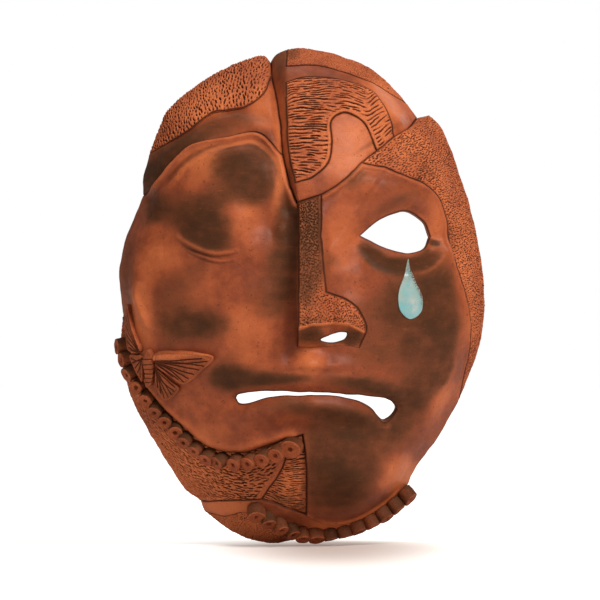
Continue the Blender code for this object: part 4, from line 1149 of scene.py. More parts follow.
def traced_sheet(slab, loop, seed):
    """A slab's long strokes: lines that run along its headings until they come near an earlier one."""
    across, _, shortest, longest, width, depth, stray = TOOLING[slab]
    chance = np.random.default_rng(seed)
    sheet, taken = empty_sheet(loop), empty_sheet(loop)
    columns = []
    for x in SEED_COLUMNS[slab]:
        heights = np.arange(loop[:, 1].min(), loop[:, 1].max(), across * 1.04)
        columns.append(np.column_stack([np.full(len(heights), float(x)), heights]))
    tries = np.vstack(columns + [chance.uniform(loop.min(0), loop.max(0), (5000, 2))])
    tries = tries[inside([loop], tries, 0.25)]
    stride = TRACE_STRIDE
    for k, start in enumerate(tries):
        limit = chance.uniform(shortest, longest) / 2
        turn = math.radians(chance.normal(0, stray))
        if sample(taken, start[None])[0] > 0:
            continue
        line = [start]
        for side in (-1, 1):
            place, gone = start, 0.0
            while gone < limit:
                heading = heading_of(slab, place[None], chance, 0)[0] + turn
                for sway, scale, extra in ((0.22, 5.0, 9), (0.1, 2.0, 10)):
                    heading += sway * noise(place[None], scale, seed + extra)[0]
                place = place + side * stride * np.array([math.cos(heading), math.sin(heading)])
                if sample(taken, place[None])[0] > 0:
                    break
                gone += stride
                line = line + [place] if side > 0 else [place] + line
        if len(line) * stride < shortest * 0.6:
            continue
        line = np.array(line)
        along = np.linspace(-1, 1, len(line))
        taper = np.sqrt(np.clip(1 - along ** 4, 0.1, 1)) * (1 + 0.25 * noise(line, 2.2, seed + k))
        wider, deeper = chance.uniform(0.8, 1.2), chance.uniform(0.7, 1.15)
        press(sheet, line, width * wider * taper, depth * deeper * taper)
        engrave(taken, line, 1.7 * across, 1.0)
    return sheet


def tooled_sheet(slab, loop, seed):
    """A slab's tool marks: short strokes that follow its headings, tapering at both ends."""
    across, along, shortest, longest, width, depth, stray = TOOLING[slab]
    chance = np.random.default_rng(seed)
    sheet = empty_sheet(loop)
    centres = scattered(loop, across, along, slab, chance)
    count = len(centres)
    lengths = chance.uniform(shortest, longest, count)
    widths = width * chance.uniform(0.75, 1.3, count)
    depths = depth * chance.uniform(0.55, 1.2, count)
    turns = np.radians(chance.normal(0, stray, count))
    curl = chance.normal(0, 0.12, count)
    stride = MARK_STRIDE
    for side in (-1, 1):
        place = centres.copy()
        gone = np.zeros(count)
        for _ in range(int(longest / 2 / stride) + 1):
            live = gone <= lengths / 2
            if not live.any():
                break
            taper = np.sqrt(np.clip(1 - (2 * gone / np.maximum(lengths, stride)) ** 2, 0.12, 1))
            press(sheet, place[live], (widths * (0.6 + 0.4 * taper))[live], (depths * taper)[live])
            heading = heading_of(slab, place, chance, 0) + turns + curl * gone * side
            place = place + side * stride * np.column_stack([np.cos(heading), np.sin(heading)])
            gone = gone + stride
    return sheet


def softened(values, cells):
    """A raster blurred by a box, twice."""
    for _ in range(2):
        for axis in (0, 1):
            more = [(cells + 1, cells) if k == axis else (0, 0) for k in (0, 1)]
            total = np.cumsum(np.pad(values, more, "edge"), axis)
            upper = np.take(total, range(2 * cells + 1, total.shape[axis]), axis)
            lower = np.take(total, range(0, total.shape[axis] - 2 * cells - 1), axis)
            values = (upper - lower) / (2 * cells + 1)
    return values


def border_share(slab, flat):
    """How much of the tool marks is left at each place, and how much the place stands up, by the borders."""
    left, rise = np.ones(len(flat)), np.zeros(len(flat))
    for owner, curve, width, height in BORDERS:
        if owner == slab:
            gap, _ = nearest(tree_of(flattened(smooth_line(CURVES[curve], 0.4))), flat)
            left = left * eased(width - 0.5, width + 0.3, gap)
            rise = rise + height * eased(width + 0.4, width - 0.6, gap)
    return left, rise


def edge_drop(gap, radius):
    """How far below the face its rounded edge lies, by the distance from the edge."""
    over = np.clip(1 - gap / radius, 0, 1)
    return radius * (1 - np.sqrt(1 - over ** 2))


def rolled_edges(xz, flat):
    """What the rolled edges of the face shell add to its height, and how high their crests stand."""
    rise, crest = np.zeros(len(flat)), np.zeros(len(flat))
    for curves, (at_roll, roll, height), (at_hollow, hollow, depth) in ROLLS:
        lines = np.vstack([flattened(smooth_line(CURVES[curve], 0.4)) for curve in curves])
        away, _ = nearest(tree_of(lines), flat)
        rolled = height * hump(away, at_roll, roll) * fade_at_rim(xz)
        rise = rise + rolled - depth * hump(away, at_hollow, hollow) * fade_at_rim(xz)
        crest = np.maximum(crest, rolled)
    return rise, crest


def tool_relief(slab, sheet, xz, flat, gap, seed):
    """What the tool marks add to a slab's height, its pits, and the crest on the nose's lower edge."""
    pressed = sample(sheet, flat)
    around = sample({"low": sheet["low"], "dent": softened(sheet["dent"], 5)}, flat)
    left, rise = border_share(slab, flat)
    left = left * np.clip(0.95 + 0.4 * layered(flat, 14, seed + 60, 2), 0.62, 1.2)
    crest = np.zeros(len(flat))
    if slab == "nose":
        over_lip = xz[:, 1] - nose_lip(xz[:, 0])
        left = left * eased(-0.3, 0.8, over_lip)
        crest = 0.9 * hump(over_lip, -0.4, 1.0)
    left = left * eased(0.3, 1.2, gap)
    uneven = 0.22 * layered(flat, 1.7, seed + 30, 2) + 0.2 * layered(flat, 4.5, seed + 40, 2)
    # The pit value: painted shade in the dents, partly smoke; below zero, a painted highlight on the clay pushed
    # up around them
    pit = (1.6 * pressed - 1.1 * np.maximum(around - pressed, 0)) / TOOLING[slab][5] * left
    return (0.5 * around - pressed + uneven) * left + rise + crest, pit, crest


def slab_finish_and_painted_light(slab, xz, flat, gap, radius, pit, crest):
    """Smoke with painted shade, warmth with painted highlights, and pit on a slab's face. Crests are lightened as
    a painted highlight, and painted shade darkens the grooves.
    """
    crest = np.minimum(crest, 1)
    # Painted highlight: the smoke thins and the clay warms on the crests
    smoke_and_shade = smoke_and_shade_at(slab, xz) * (1 - 0.5 * crest)
    warmth_and_highlight = np.maximum(warmth_and_highlight_at(xz) + (0.3 if slab in TOOLING else 0), 0.4 * crest)
    # Painted shade: the pit value darkens along the slab's edges, most at the groove
    reach = GROOVE_SHADE_REACH * np.minimum(radius, EDGE_ROUND)
    edge_shade = (GROOVE_SHADE + GROOVE_SHADE_VARIES * layered(flat, 9, 77, 2)) * reach / 1.25
    pit = pit + edge_shade * eased(1, 0.08, gap / reach)
    # Painted shade on the nose's underside, and a painted highlight on the crest of its lower lip
    if slab == "nose":
        under = eased(0.5, -1.5, xz[:, 1] - nose_lip(xz[:, 0]))
        smoke_and_shade = (smoke_and_shade + 0.12 * under) * (1 - 0.8 * crest)
        warmth_and_highlight = np.maximum(warmth_and_highlight, crest)
    return np.column_stack([share_of(smoke_and_shade), warmth_and_highlight, np.clip(pit, -1, 1)])


def add_slab(slab, seed):
    """One slab of the mask, with rounded edges, tool marks, its fire clouds, and its painted shade and highlights.
    """
    names, _, pitch = SLABS[slab]
    outline, rounds = chained(names, LINE_PITCH, slab)
    if signed_area(outline) < 0:
        outline, rounds = outline[::-1], rounds[::-1]
    for _ in range(ROUND_SOFTENED):
        rounds = (np.roll(rounds, 1) + rounds + np.roll(rounds, -1)) / 3
    holes = [wound(loop, hole=True) for loop in HOLES.get(slab, [])]
    loops = [inset(flattened(loop), -OVERLAP) for loop in [outline] + holes]
    rounds = np.concatenate([rounds] + [np.full(len(loop), HOLE_ROUND) for loop in holes])
    flat, faces, gap, at = filled(loops, pitch, EDGE_ROWS)
    xz, radius = drawn(flat), rounds[at]
    height = sculpted(slab, xz) - EDGE_DROP * edge_drop(gap, radius)
    rise = pit = crest = np.zeros(len(flat))
    if slab == "face_shell":
        rise, crest = rolled_edges(xz, flat)
        crest = np.maximum(crest, folds(slab, xz))
    if slab in TOOLING:
        make_sheet = traced_sheet if slab in SEED_COLUMNS else tooled_sheet
        rise, pit, crest = tool_relief(slab, make_sheet(slab, loops[0], seed), xz, flat, gap, seed)
    finish_and_painted_light = slab_finish_and_painted_light(slab, xz, flat, gap, radius, pit, crest)
    back_flat, back_faces, back_gap, _ = filled(loops, BACK_PITCH, BACK_ROWS)
    back_xz = drawn(back_flat)
    back = point_at(back_xz, back_height(slab, back_xz) + 0.4 * np.exp(-back_gap / 0.4))
    soot = share_of(0.45 + 0.5 * layered(back_xz, 40, 90))
    back_finish = np.column_stack([soot, 0 * soot, 0 * soot])
    look = LOOKS["tooled" if slab in TOOLING else "smooth"]
    front, back = (point_at(xz, height + rise), faces, finish_and_painted_light), (back, back_faces, back_finish)
    add_closed(slab + "_clay", loops, front, back, look, slab, pitted_walls=0)


def feed(tree, socket, value):
    """Links a node's output to an input, or sets the input to a value."""
    if isinstance(value, bpy.types.NodeSocket):
        tree.links.new(value, socket)
    else:
        socket.default_value = value


def node_of(tree, kind, settings=(), **inputs):
    """A shader node, with values or links for its inputs by name. i0, i1 and so on are inputs by number."""
    made = tree.nodes.new(kind)
    for key, value in dict(settings).items():
        setattr(made, key, value)
    for key, value in inputs.items():
        by_number = key[0] == "i" and key[1:].isdigit()
        feed(tree, made.inputs[int(key[1:]) if by_number else key.replace("_", " ")], value)
    return made


def maths(tree, operation, a, b=0.0, clamp=False):
    """A sum worked out by the shader."""
    settings = {"operation": operation, "use_clamp": clamp}
    return node_of(tree, "ShaderNodeMath", settings, i0=a, i1=b).outputs[0]


def swayed(tree, value, noise_value, amount):
    """A value moved up and down by a noise whose middle is 0.5."""
    off_middle = maths(tree, "SUBTRACT", noise_value, 0.5)
    return maths(tree, "ADD", value, maths(tree, "MULTIPLY", off_middle, amount))


def mixed(tree, share, a, b, kind="MIX"):
    """Two colours, each a link or red, green and blue, mixed by a share."""
    made = node_of(tree, "ShaderNodeMix", {"data_type": "RGBA", "blend_type": kind}, i0=share)
    for socket, value in ((made.inputs[6], a), (made.inputs[7], b)):
        feed(tree, socket, value if isinstance(value, bpy.types.NodeSocket) else (*value, 1))
    return made.outputs[2]


def grains(tree, where, scale, detail=3.0, roughness=0.55):
    """Noise, 0 to 1, with its features one metre divided by the scale across."""
    made = node_of(tree, "ShaderNodeTexNoise", Vector=where, Scale=scale, Detail=detail, Roughness=roughness)
    return made.outputs[0]


def spread(tree, value, low, high, to_low=0.0, to_high=1.0):
    """A value carried smoothly from one range to another."""
    smooth = {"interpolation_type": "SMOOTHSTEP"}
    made = node_of(tree, "ShaderNodeMapRange", smooth, i0=value, i1=low, i2=high, i3=to_low, i4=to_high)
    return made.outputs[0]


def drawn_out(tree, where, scale, rotation=(0, 0, 0), location=(0, 0, 0)):
    """Coordinates stretched by a scale, after a turn."""
    made = node_of(tree, "ShaderNodeMapping", {"vector_type": "POINT"}, Vector=where, Scale=scale,
                   Rotation=rotation, Location=location)
    return made.outputs[0]


def finish_and_painted_light_parts(tree):
    """A piece's finish values, one output for each."""
    # Smoke with painted shade, warmth with painted highlights, and pit with painted shade and highlights
    finish_and_painted_light = node_of(tree, "ShaderNodeAttribute", {"attribute_name": "finish_and_painted_light"}).outputs["Vector"]
    return node_of(tree, "ShaderNodeSeparateXYZ", Vector=finish_and_painted_light).outputs


def new_look(name):
    """A new material, its node tree, its shader's inputs, and the piece's own coordinates in it."""
    made = bpy.data.materials.new(name)
    made.use_nodes = True
    tree = made.node_tree
    where = node_of(tree, "ShaderNodeTexCoord").outputs["Object"]
    return made, tree, tree.nodes["Principled BSDF"].inputs, where


def clay_look(name, roughness, grain_depth, speckled):
    """Burnished terracotta with fire clouds, from the values each piece carries: smoke with painted shade, warmth
    with painted highlights, and pit with painted shade and highlights.
    """
    made, tree, shader, where = new_look(name)
    smoke_and_shade, warmth_and_highlight, pit = finish_and_painted_light_parts(tree)
    broad = grains(tree, where, 45.0, 4.0)
    middle = grains(tree, where, 190.0, 4.0, 0.6)
    fine = grains(tree, where, 1300.0, 3.0, 0.6)
    streaks = grains(tree, drawn_out(tree, where, (0.5, 1.0, 2.0), (0, 0.45, 0)), 120.0, 5.0, 0.65)
    specks = grains(tree, where, 620.0, 1.0, 0.5)
    scratches = grains(tree, drawn_out(tree, where, (0.12, 1.0, 1.6), (0, 0.5, 0)), 520.0, 2.0, 0.5)
    heat_and_highlight = swayed(tree, swayed(tree, warmth_and_highlight, broad, 1.1), middle, 0.7)
    smoke_and_shade_cloud = swayed(tree, swayed(tree, smoke_and_shade, streaks, 0.4), middle, 0.38)
    base = mixed(tree, spread(tree, heat_and_highlight, -0.35, 0.35), DEEP_CLAY, MID_CLAY)
    for value, low, high, most, colour in (
        (heat_and_highlight, 0.05, 1.05, 1.0, WARM_CLAY),
        # Fire clouds, with the painted shade among them
        (smoke_and_shade_cloud, 0.05, 0.75, 0.85, SMOKE_AND_SHADE_BROWN),
        (smoke_and_shade_cloud, 0.45, 1.05, 0.95, NEAR_BLACK),
        # Painted shade in the dents and grooves, and a painted highlight on the burrs
        (pit, 0.0, 0.9, 0.9, PIT_DARK),
        (pit, 0.0, -0.6, 0.65, BURR_HIGHLIGHT),
        (specks, 0.69, 0.74, 0.55, NEAR_BLACK),
        (scratches, 0.66, 0.74, 0.10, WARM_CLAY),
    ):
        base = mixed(tree, spread(tree, value, low, high, 0.0, most), base, colour)
    speckle = spread(tree, fine, 0.3, 0.7, *speckled)
    grey = node_of(tree, "ShaderNodeCombineColor", i0=speckle, i1=speckle, i2=speckle).outputs[0]
    feed(tree, shader["Base Color"], mixed(tree, 1.0, base, grey, "MULTIPLY"))
    polish = swayed(tree, roughness, streaks, 0.35)
    feed(tree, shader["Roughness"], maths(tree, "ADD", polish, maths(tree, "MULTIPLY", pit, 0.3), True))
    feed(tree, shader["Specular IOR Level"], spread(tree, smoke_and_shade, 0.1, 0.8, 0.13, 0.05))
    relief = maths(tree, "ADD", maths(tree, "MULTIPLY", fine, 0.6), maths(tree, "MULTIPLY", middle, 0.9))
    relief = maths(tree, "ADD", relief, maths(tree, "MULTIPLY", streaks, 0.5))
    bump = node_of(tree, "ShaderNodeBump", Strength=0.6, Distance=grain_depth, Height=relief)
    feed(tree, shader["Normal"], bump.outputs[0])
    return made


def glaze_look():
    """A pale turquoise glaze, pooled darker at its edges, with a blush in the middle and dark specks."""
    made, tree, shader, where = new_look("turquoise_glaze_look")
    pooled, blushed, dark = finish_and_painted_light_parts(tree)
    clouds = grains(tree, where, 260.0, 4.0, 0.6)
    specks = grains(tree, where, 1500.0, 2.0, 0.5)
    base = mixed(tree, spread(tree, maths(tree, "ADD", clouds, pooled), 0.35, 0.75), GLAZE_PALE, GLAZE_DEEP)
    base = mixed(tree, maths(tree, "MULTIPLY", blushed, spread(tree, clouds, 0.35, 0.6)), base, GLAZE_BLUSH)
    base = mixed(tree, maths(tree, "MULTIPLY", dark, spread(tree, specks, 0.40, 0.56), True), base, NEAR_BLACK)
    feed(tree, shader["Base Color"], base)
    for name, value in (("Roughness", 0.34), ("Coat Weight", 0.35), ("Coat Roughness", 0.2)):
        feed(tree, shader[name], value)
    bump = node_of(tree, "ShaderNodeBump", Strength=0.4, Distance=0.0002, Height=clouds)
    feed(tree, shader["Normal"], bump.outputs[0])
    return made


def steel_look():
    """Dull drawn wire with a little tarnish."""
    made, tree, shader, where = new_look("wire_look")
    tarnish = grains(tree, where, 900.0, 4.0, 0.6)
    base = mixed(tree, spread(tree, tarnish, 0.4, 0.65), WIRE_BRIGHT, WIRE_TARNISHED)
    feed(tree, shader["Base Color"], base)
    feed(tree, shader["Roughness"], spread(tree, tarnish, 0.3, 0.7, 0.28, 0.6))
    feed(tree, shader["Metallic"], 1.0)
    return made


LOOKS = {
    "smooth": clay_look("burnished_clay_look", 0.46, 0.00014, (0.90, 1.07)),
    "tooled": clay_look("tooled_clay_look", 0.62, 0.00030, (0.76, 1.16)),
    "glaze": glaze_look(),
    "steel": steel_look(),
}


def add_patch(part, outline, over, back_over, finish_of, rounding, look, sheet=None):
    """A small closed piece on the face shell. over() gives the height of its face over the shell."""
    loop = flattened(wound(outline))
    flat, faces, gap, _ = filled([loop], TOOLED_PITCH, PATCH_ROWS)
    back_flat, back_faces, _, _ = filled([loop], PATCH_BACK_PITCH)
    xz = drawn(flat)
    pit = sample(sheet, flat) if sheet else np.zeros(len(flat))
    place = surface("face_shell", xz, over(xz, gap, -edge_drop(gap, rounding) - pit))
    back = surface("face_shell", drawn(back_flat), back_over)
    front, back = (place, faces, finish_of(xz, gap, pit)), (back, back_faces, np.zeros((len(back), 3)))
    add_closed(part + ("_clay" if sheet else "_glazed"), [loop], front, back, look, part)


def wing_ridge(xz):
    """1 along the ridge at the top of the right forewing, falling away on both sides."""
    return hump(xz[:, 1] - 0.06 * (xz[:, 0] + 66), -33.6, 1.9)


def add_butterfly():
    """The butterfly on the left cheekbone: a ringed body and veined wings."""
    for part, (points, thickness, root, tips) in BUTTERFLY.items():
        outline = loop_of(points, pitch=0.4)
        sheet = empty_sheet(flattened(outline))
        chance = np.random.default_rng(len(part))
        for tip in tips:
            mid = (np.array(root) + tip) / 2 + chance.normal(0, 0.4, 2)
            engrave(sheet, flattened(smooth_line([root, tuple(mid), tip], 0.15)), *VEIN)
        if tips:
            engrave(sheet, flattened(inset(wound(outline), WING_BORDER_IN)), *WING_BORDER)
        for z in () if tips else BODY_RINGS:
            engrave(sheet, flattened(smooth_line([(-86, z), (-79, z - 0.4)], 0.15)), *BODY_RING)
        crest = CREST_RISE if part == CREST_WING else 0.0

        def raised(xz, gap, lowered, high=thickness + BUTTERFLY_OVER, crest=crest):
            return high + lowered + crest * wing_ridge(xz) + 0.25 * layered(xz, 6, 33)

        def smoke_and_painted_light(xz, gap, pit, crest=crest):
            # Painted highlight along the wing's ridge, and painted shade in its incised veins, border and rings
            top = wing_ridge(xz) * min(crest, 1)
            shade = 0.3 + 0.25 * layered(xz, 5, 19)
            return np.column_stack([share_of(shade * (1 - top)), 0.2 + 0.6 * top, share_of(pit / 0.5)])

        look = LOOKS["tooled"]
        add_patch("butterfly_" + part, outline, raised, BUTTERFLY_BACK, smoke_and_painted_light, 0.8, look, sheet)


def add_tear():
    """The glazed drop under the open eye."""
    def crowned(xz, gap, lowered):
        return TEAR_OVER + TEAR_CROWN * eased(0, 5, gap) + 0.6 * lowered + 0.12 * layered(xz, 3, 8)

    def glaze(xz, gap, pit):
        x, z = xz[:, 0], xz[:, 1]
        pooled = 0.35 * eased(2, -10, z) - 0.25 * eased(2.2, 0.2, gap)
        blush = blob(x, z, 0.8, 65.2, -5, 3.2, 4.5, 0)
        right = eased(62, 66, x) * eased(2.6, 0.3, gap) * eased(-9, -2, z)
        return np.column_stack([pooled, blush, share_of(right + 0.5 * eased(6, 14, z))])

    add_patch("tear", TEAR_LOOP, crowned, TEAR_BACK, glaze, 0.7, LOOKS["glaze"])


def ring_section(radius, length, hole):
    """Half the section of a ring, from the middle of its seat to the bottom of its blind hole.

    Also how many of its points are on its side, and how many in its hole."""
    side = [
        (0, -1.6), (radius * 0.97, -1.6), (radius, 0), (radius * 1.03, length * 0.35), (radius, length * 0.7),
    ]
    corner = [
        (radius - RING_LIP * (1 - math.sin(a)), length - RING_LIP * (1 - math.cos(a)))
        for a in np.radians([90, 65, 40, 15])
    ]
    face = [(radius * 0.72, length - 0.35), (radius * 0.5, length - 0.6), (hole + 0.45, length - 0.6)]
    bore = [
        (hole + 0.08, length - 0.85), (hole * 0.92, length - 1.6), (hole * 0.8, length - 3.2),
        (0, length - 3.4),
    ]
    return side + corner + face + bore, len(side), len(bore)


def add_ring(node, slab, number, lean, scale, aside=0.0):
    """One pierced pellet of clay, hand formed: out of round, a little twisted and with an uneven face.

    It leans off its slab's outward direction, and aside, 0 to 1, lays it over on its side."""
    middle = sum(box_of(node)) / 2
    out = outward(slab, middle[None, [0, 2]])[0]
    axis = unit(out * (1 - aside) + lean)
    sunk = (out * (1 - aside) + axis * aside) * RING_SINKS + (0.4 * out + 0.6 * axis) * 2.2 * aside
    chance = np.random.default_rng(number)
    radius = RING_RADIUS * (scale + 0.1 * aside) * chance.uniform(0.94, 1.08)
    length = RING_LENGTH * chance.uniform(0.94, 1.08) * min(scale, 1)
    side = unit(np.cross(axis, [0.3, 0.2, 1.0]))
    other = np.cross(axis, side)
    angle = np.linspace(0, math.tau, RING_SIDES, endpoint=False)
    phase = chance.uniform(0, math.tau, 3)
    shape = 1 + 0.035 * np.cos(2 * angle + phase[0]) + 0.02 * np.cos(3 * angle + phase[1])
    tilt = chance.uniform(0.2, 0.7)
    sooty = chance.uniform(-0.1, 0.25)
    section, on_side, in_bore = ring_section(radius, length, RING_HOLE * chance.uniform(0.9, 1.15))
    mouth = section[-in_bore][0]
    rings, finish_and_painted_light = [], []
    for k, (r, h) in enumerate(section):
        rise = h + tilt * (r / radius) * np.cos(angle + phase[2]) * (h > 1)
        rise = rise + 0.07 * np.sin(5 * angle + phase[1] + k)
        around = np.outer(np.cos(angle) * r * shape, side) + np.outer(np.sin(angle) * r * shape, other)
        rings.append(middle - sunk + around + np.outer(rise, axis))
        # The side is darker than the face, and darker still towards its top: painted shade under the edge above.
        # The hole's bottom gets painted shade.
        up = share_of(around[:, 2] / max(r, 0.5))
        smoke_and_shade = (0.38 + 0.42 * up) * (k <= on_side) + 0.1 + sooty
        pit = eased(0.9, 0.3, r / mouth) if k >= len(section) - in_bore else 0.0
        finish_and_painted_light.append(np.column_stack([smoke_and_shade, np.full(RING_SIDES, 0.25), np.full(RING_SIDES, pit)]))
    # The first and the last ring shrink to a point on the axis
    points, finish_and_painted_light = (np.vstack(rows[1:-1] + [rows[0].mean(0), rows[-1].mean(0)]) for rows in (rings, finish_and_painted_light))
    count = len(section) - 2
    seat_id, bottom_id = count * RING_SIDES, count * RING_SIDES + 1
    ids = np.arange(RING_SIDES)
    ahead = (ids + 1) % RING_SIDES
    last = (count - 1) * RING_SIDES
    faces = bands(0, count, RING_SIDES)
    faces += [[seat_id, int(j), int(i)] for i, j in zip(ids, ahead)]
    faces += [[int(i) + last, int(j) + last, bottom_id] for i, j in zip(ids, ahead)]
    add_piece(node + "_clay", points, faces, finish_and_painted_light, LOOKS["tooled"], "shell", node)


def add_rings():
 
    """The jaw's rings, the middle ones turned to the front, and the chin's, the last ones on their side."""
    jaw = sorted(node for node in frame["nodes"] if node.startswith("jaw_ring"))
    chin = sorted(node for node in frame["nodes"] if node.startswith("chin_ring"))
    for number, node in enumerate(jaw):
        front = eased(1, 3, number) * eased(10, 7, number)
        lean = np.array(JAW_LEAN) * (1 - front) + np.array(JAW_LEAN_TURNED) * front
        add_ring(node, "jaw_slab", 300 + number, lean, END_RING["jaw"] if node == jaw[-1] else 1.0)
    middles = [sum(box_of(node)) / 2 for node in chin]
    for number, node in enumerate(chin):
        along = middles[min(number + 1, len(chin) - 1)] - middles[max(number - 1, 0)]
        outside = np.array([along[2], 0, -along[0]]) / math.hypot(along[0], along[2])
        aside = CHIN_ASIDE * eased(3, 8, number)
        lean = aside * outside + np.array(CHIN_LEAN) * (1 - aside)
        add_ring(node, "ribbon", 400 + number, lean, END_RING["chin"] if node == chin[0] else 1.0, aside)


def add_lug(node):
    """A pierced lug on the mask's back: a rounded eye of clay on a spread foot."""
    low, high = box_of(node)
    half = (high[0] - low[0]) / 2
    hole_y = high[1] - (high[2] - low[2]) / 2 + LUG_EYE_DROP
    middle = [(low[0] + high[0]) / 2, hole_y, (low[2] + high[2]) / 2]
    eye = high[1] - hole_y
    foot = low[1] - hole_y - 1.5
    angle = np.linspace(0, math.tau, LUG_SIDES, endpoint=False)
    y, z = eye * np.cos(angle), eye * np.sin(angle)
    at_foot = np.cos(angle) < -0.2
    outer_y = np.where(at_foot, foot * np.clip(-1.5 * np.cos(angle), 0, 1), y)
    wide = np.sign(z) * np.maximum(np.abs(z), (eye + 1.2) * np.abs(np.sin(angle)) ** 0.35)
    outer_z = np.where(at_foot, wide, z)
    rings = []
    for x, share in LUG_PROFILE:
        size = share * (1 + 0.015 * np.sin(3 * angle + x))
        ring_y, ring_z = (outer_y, outer_z) if share > 0.4 else (y, z)
        rings.append(np.column_stack([np.full(LUG_SIDES, x * half), ring_y * size, ring_z * size]) + middle)
    points = np.vstack(rings)
    faces = bands(0, len(LUG_PROFILE), LUG_SIDES, closed=True)
    finish_and_painted_light = np.tile([0.35, 0, 0], (len(points), 1))
    add_piece(node + "_clay", points, faces, finish_and_painted_light, LOOKS["tooled"], "shell", node)


def sides_of(line, hint):
    """Two directions across a line at each of its places. The hint is a direction that it doesn't run in."""
    ahead = unit(np.gradient(line, axis=0))
    side = unit(np.cross(ahead, hint))
    return side, np.cross(ahead, side)


def add_wire():
    """The hanging wire: two thin strands twisted together, their ends wound into a stop beyond each lug."""
    low, high = box_of("hanging_wire")
    pivot = on_drawing(frame["joints"][0]["pos_m"])
    rise = high[2] - pivot[2] - WIRE_INSIDE_BOX
    back = high[1] - pivot[1] - WIRE_INSIDE_BOX
    outer = (high[0] - low[0]) / 2 - 1.0
    half = [
        (outer, 0), (WIRE_INNER + 4, 0), (WIRE_INNER, 0.06), (WIRE_INNER - 3.5, 0.45), (WIRE_INNER - 9, 0.78),
        (WIRE_INNER - 16, 0.95), (3, 1.0),
    ]
    stations = half + [(-x, up) for x, up in half[::-1]]
    path = smooth_line([(x, up * rise) for x, up in stations], 0.35)
    up = np.clip(path[:, 1] / rise, 0, 1)
    centre = np.column_stack([path[:, 0], pivot[1] + back * up, pivot[2] + path[:, 1]])
    along = np.concatenate([[0], np.cumsum(np.linalg.norm(np.diff(centre, axis=0), axis=1))])
    side, other = sides_of(centre, [0, 1, 0])
    strands = []
    for phase in (0, math.pi):
        turn = (along / WIRE_TWIST * math.tau + phase)[:, None]
        off_centre = 0.92 * WIRE_STRAND * (np.cos(turn) * side + np.sin(turn) * other)
        strands.append((centre + off_centre, side, other))
    turns = np.linspace(0, COIL_TURNS * math.tau, 60)
    for end in (-1, 1):
        x = end * (outer - 1.5 + COIL_LENGTH * turns / turns[-1])
        wound_y, wound_z = COIL_RADIUS * np.cos(turns), COIL_RADIUS * np.sin(turns)
        line = np.column_stack([x, pivot[1] + wound_y, pivot[2] + wound_z])
        strands.append((line, *sides_of(line, [1, 0, 0])))
    points, faces = np.zeros((0, 3)), []
    angles = np.linspace(0, math.tau, WIRE_SIDES, endpoint=False)
    for line, side, other in strands:
        rings = [line + WIRE_STRAND * (math.cos(a) * side + math.sin(a) * other) for a in angles]
        first, last = len(points), len(points) + (len(line) - 1) * WIRE_SIDES
        points = np.vstack([points, np.stack(rings, 1).reshape(-1, 3)])
        faces += [face[::-1] for face in bands(first, len(line), WIRE_SIDES)]
        faces += [list(range(first, first + WIRE_SIDES)), list(range(last, last + WIRE_SIDES))[::-1]]
    add_piece("hanging_wire_twist", points, faces, np.zeros((len(points), 3)), LOOKS["steel"], "hanger",
              "hanging_wire")


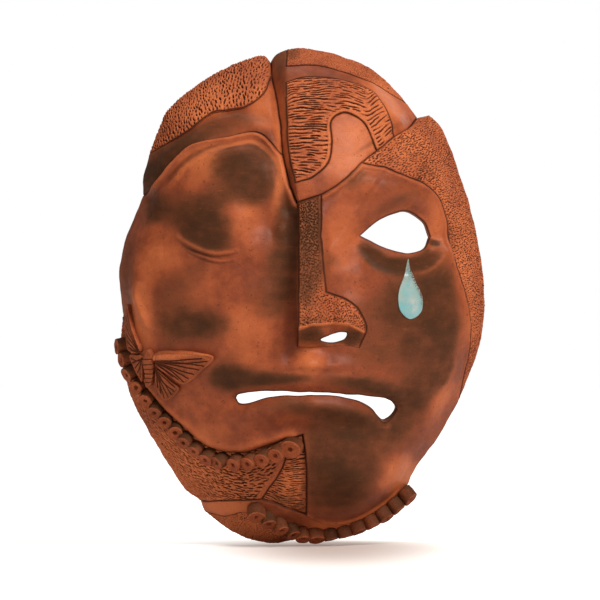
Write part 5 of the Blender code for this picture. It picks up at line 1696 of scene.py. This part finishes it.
def add_floor():
    """A pale floor under the mask, level behind it and falling a little in front, with a soft shadow painted into
    it.
    """
    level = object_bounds()[0][2] - FLOOR_BELOW
    drop = level - FLOOR_HALF * FLOOR_FALL
    rows = ((-FLOOR_HALF, drop), (0, level), (FLOOR_HALF, level))
    corners = [(x, y, z) for y, z in rows for x in (-FLOOR_HALF, FLOOR_HALF)]
    mesh = bpy.data.meshes.new("floor")
    mesh.from_pydata(corners, [], [(0, 1, 3, 2), (2, 3, 5, 4)])
    made, tree, shader, where = new_look("floor_look")
    feed(tree, shader["Roughness"], 0.85)
    seen = node_of(tree, "ShaderNodeLightPath").outputs["Is Camera Ray"]
    length = {"operation": "LENGTH"}
    reach = node_of(tree, "ShaderNodeVectorMath", length, i0=where).outputs["Value"]
    glow = maths(tree, "MULTIPLY", seen, spread(tree, reach, 0.4, 1.1, 0.55, 1.0))
    feed(tree, shader["Emission Strength"], glow)
    # A painted shadow: the floor's colour and glow darken in a soft pool under the chin.
    pool = drawn_out(tree, where, (9.0, 4.2, 0), location=(-0.2, 0, 0))
    pool = node_of(tree, "ShaderNodeVectorMath", length, i0=pool).outputs["Value"]
    shade = spread(tree, pool, 0.1, 1.0, 1.0, 0.0)
    feed(tree, shader["Base Color"], mixed(tree, shade, FLOOR_PALE, FLOOR_SHADE))
    feed(tree, shader["Emission Color"], mixed(tree, shade, FLOOR_GLOW, FLOOR_SHADE))
    mesh.materials.append(made)
    floor = bpy.data.objects.new("floor", mesh)
    bpy.context.scene.collection.objects.link(floor)


def add_light(name, place, size, energy, colour):
    """A round soft light that faces the mask."""
    light = bpy.data.lights.new(name, "AREA")
    light.shape = "DISK"
    light.size = size
    light.energy = energy
    light.color = colour
    made = bpy.data.objects.new(name, light)
    made.location = place
    made.rotation_euler = (Vector(TARGET) - Vector(place)).to_track_quat("-Z", "Y").to_euler()
    bpy.context.scene.collection.objects.link(made)


def add_stage():
    """Soft daylight from the upper right, a white surround, and a long lens facing the mask."""
    scene = bpy.context.scene
    add_floor()
    for name, light in LIGHTS.items():
        add_light(name, *light)
    world = bpy.data.worlds.new("surround")
    world.use_nodes = True
    tree = world.node_tree
    glow = tree.nodes["Background"].inputs
    seen = node_of(tree, "ShaderNodeLightPath").outputs["Is Camera Ray"]
    feed(tree, glow["Strength"], spread(tree, seen, 0.0, 1.0, SURROUND_STRENGTH, 1.0))
    feed(tree, glow["Color"], mixed(tree, seen, SURROUND_WARM, (1, 1, 1)))
    scene.world = world
    scene.view_settings.view_transform = "Standard"
    camera = bpy.data.cameras.new("camera")
    camera.lens = VIEW_DISTANCE * SENSOR / VIEW_WIDTH
    camera.sensor_width = SENSOR
    camera.clip_end = 60
    seen_from = bpy.data.objects.new("camera", camera)
    seen_from.location = (TARGET[0], TARGET[1] - VIEW_DISTANCE, TARGET[2])
    seen_from.rotation_euler = (math.pi / 2, 0, 0)
    scene.collection.objects.link(seen_from)
    scene.camera = seen_from


for number, slab_name in enumerate(SLABS):
    add_slab(slab_name, 500 + 20 * number)
add_butterfly()
add_tear()
add_rings()
for lug in ("lug_left", "lug_right"):
    add_lug(lug)
add_wire()
add_stage()
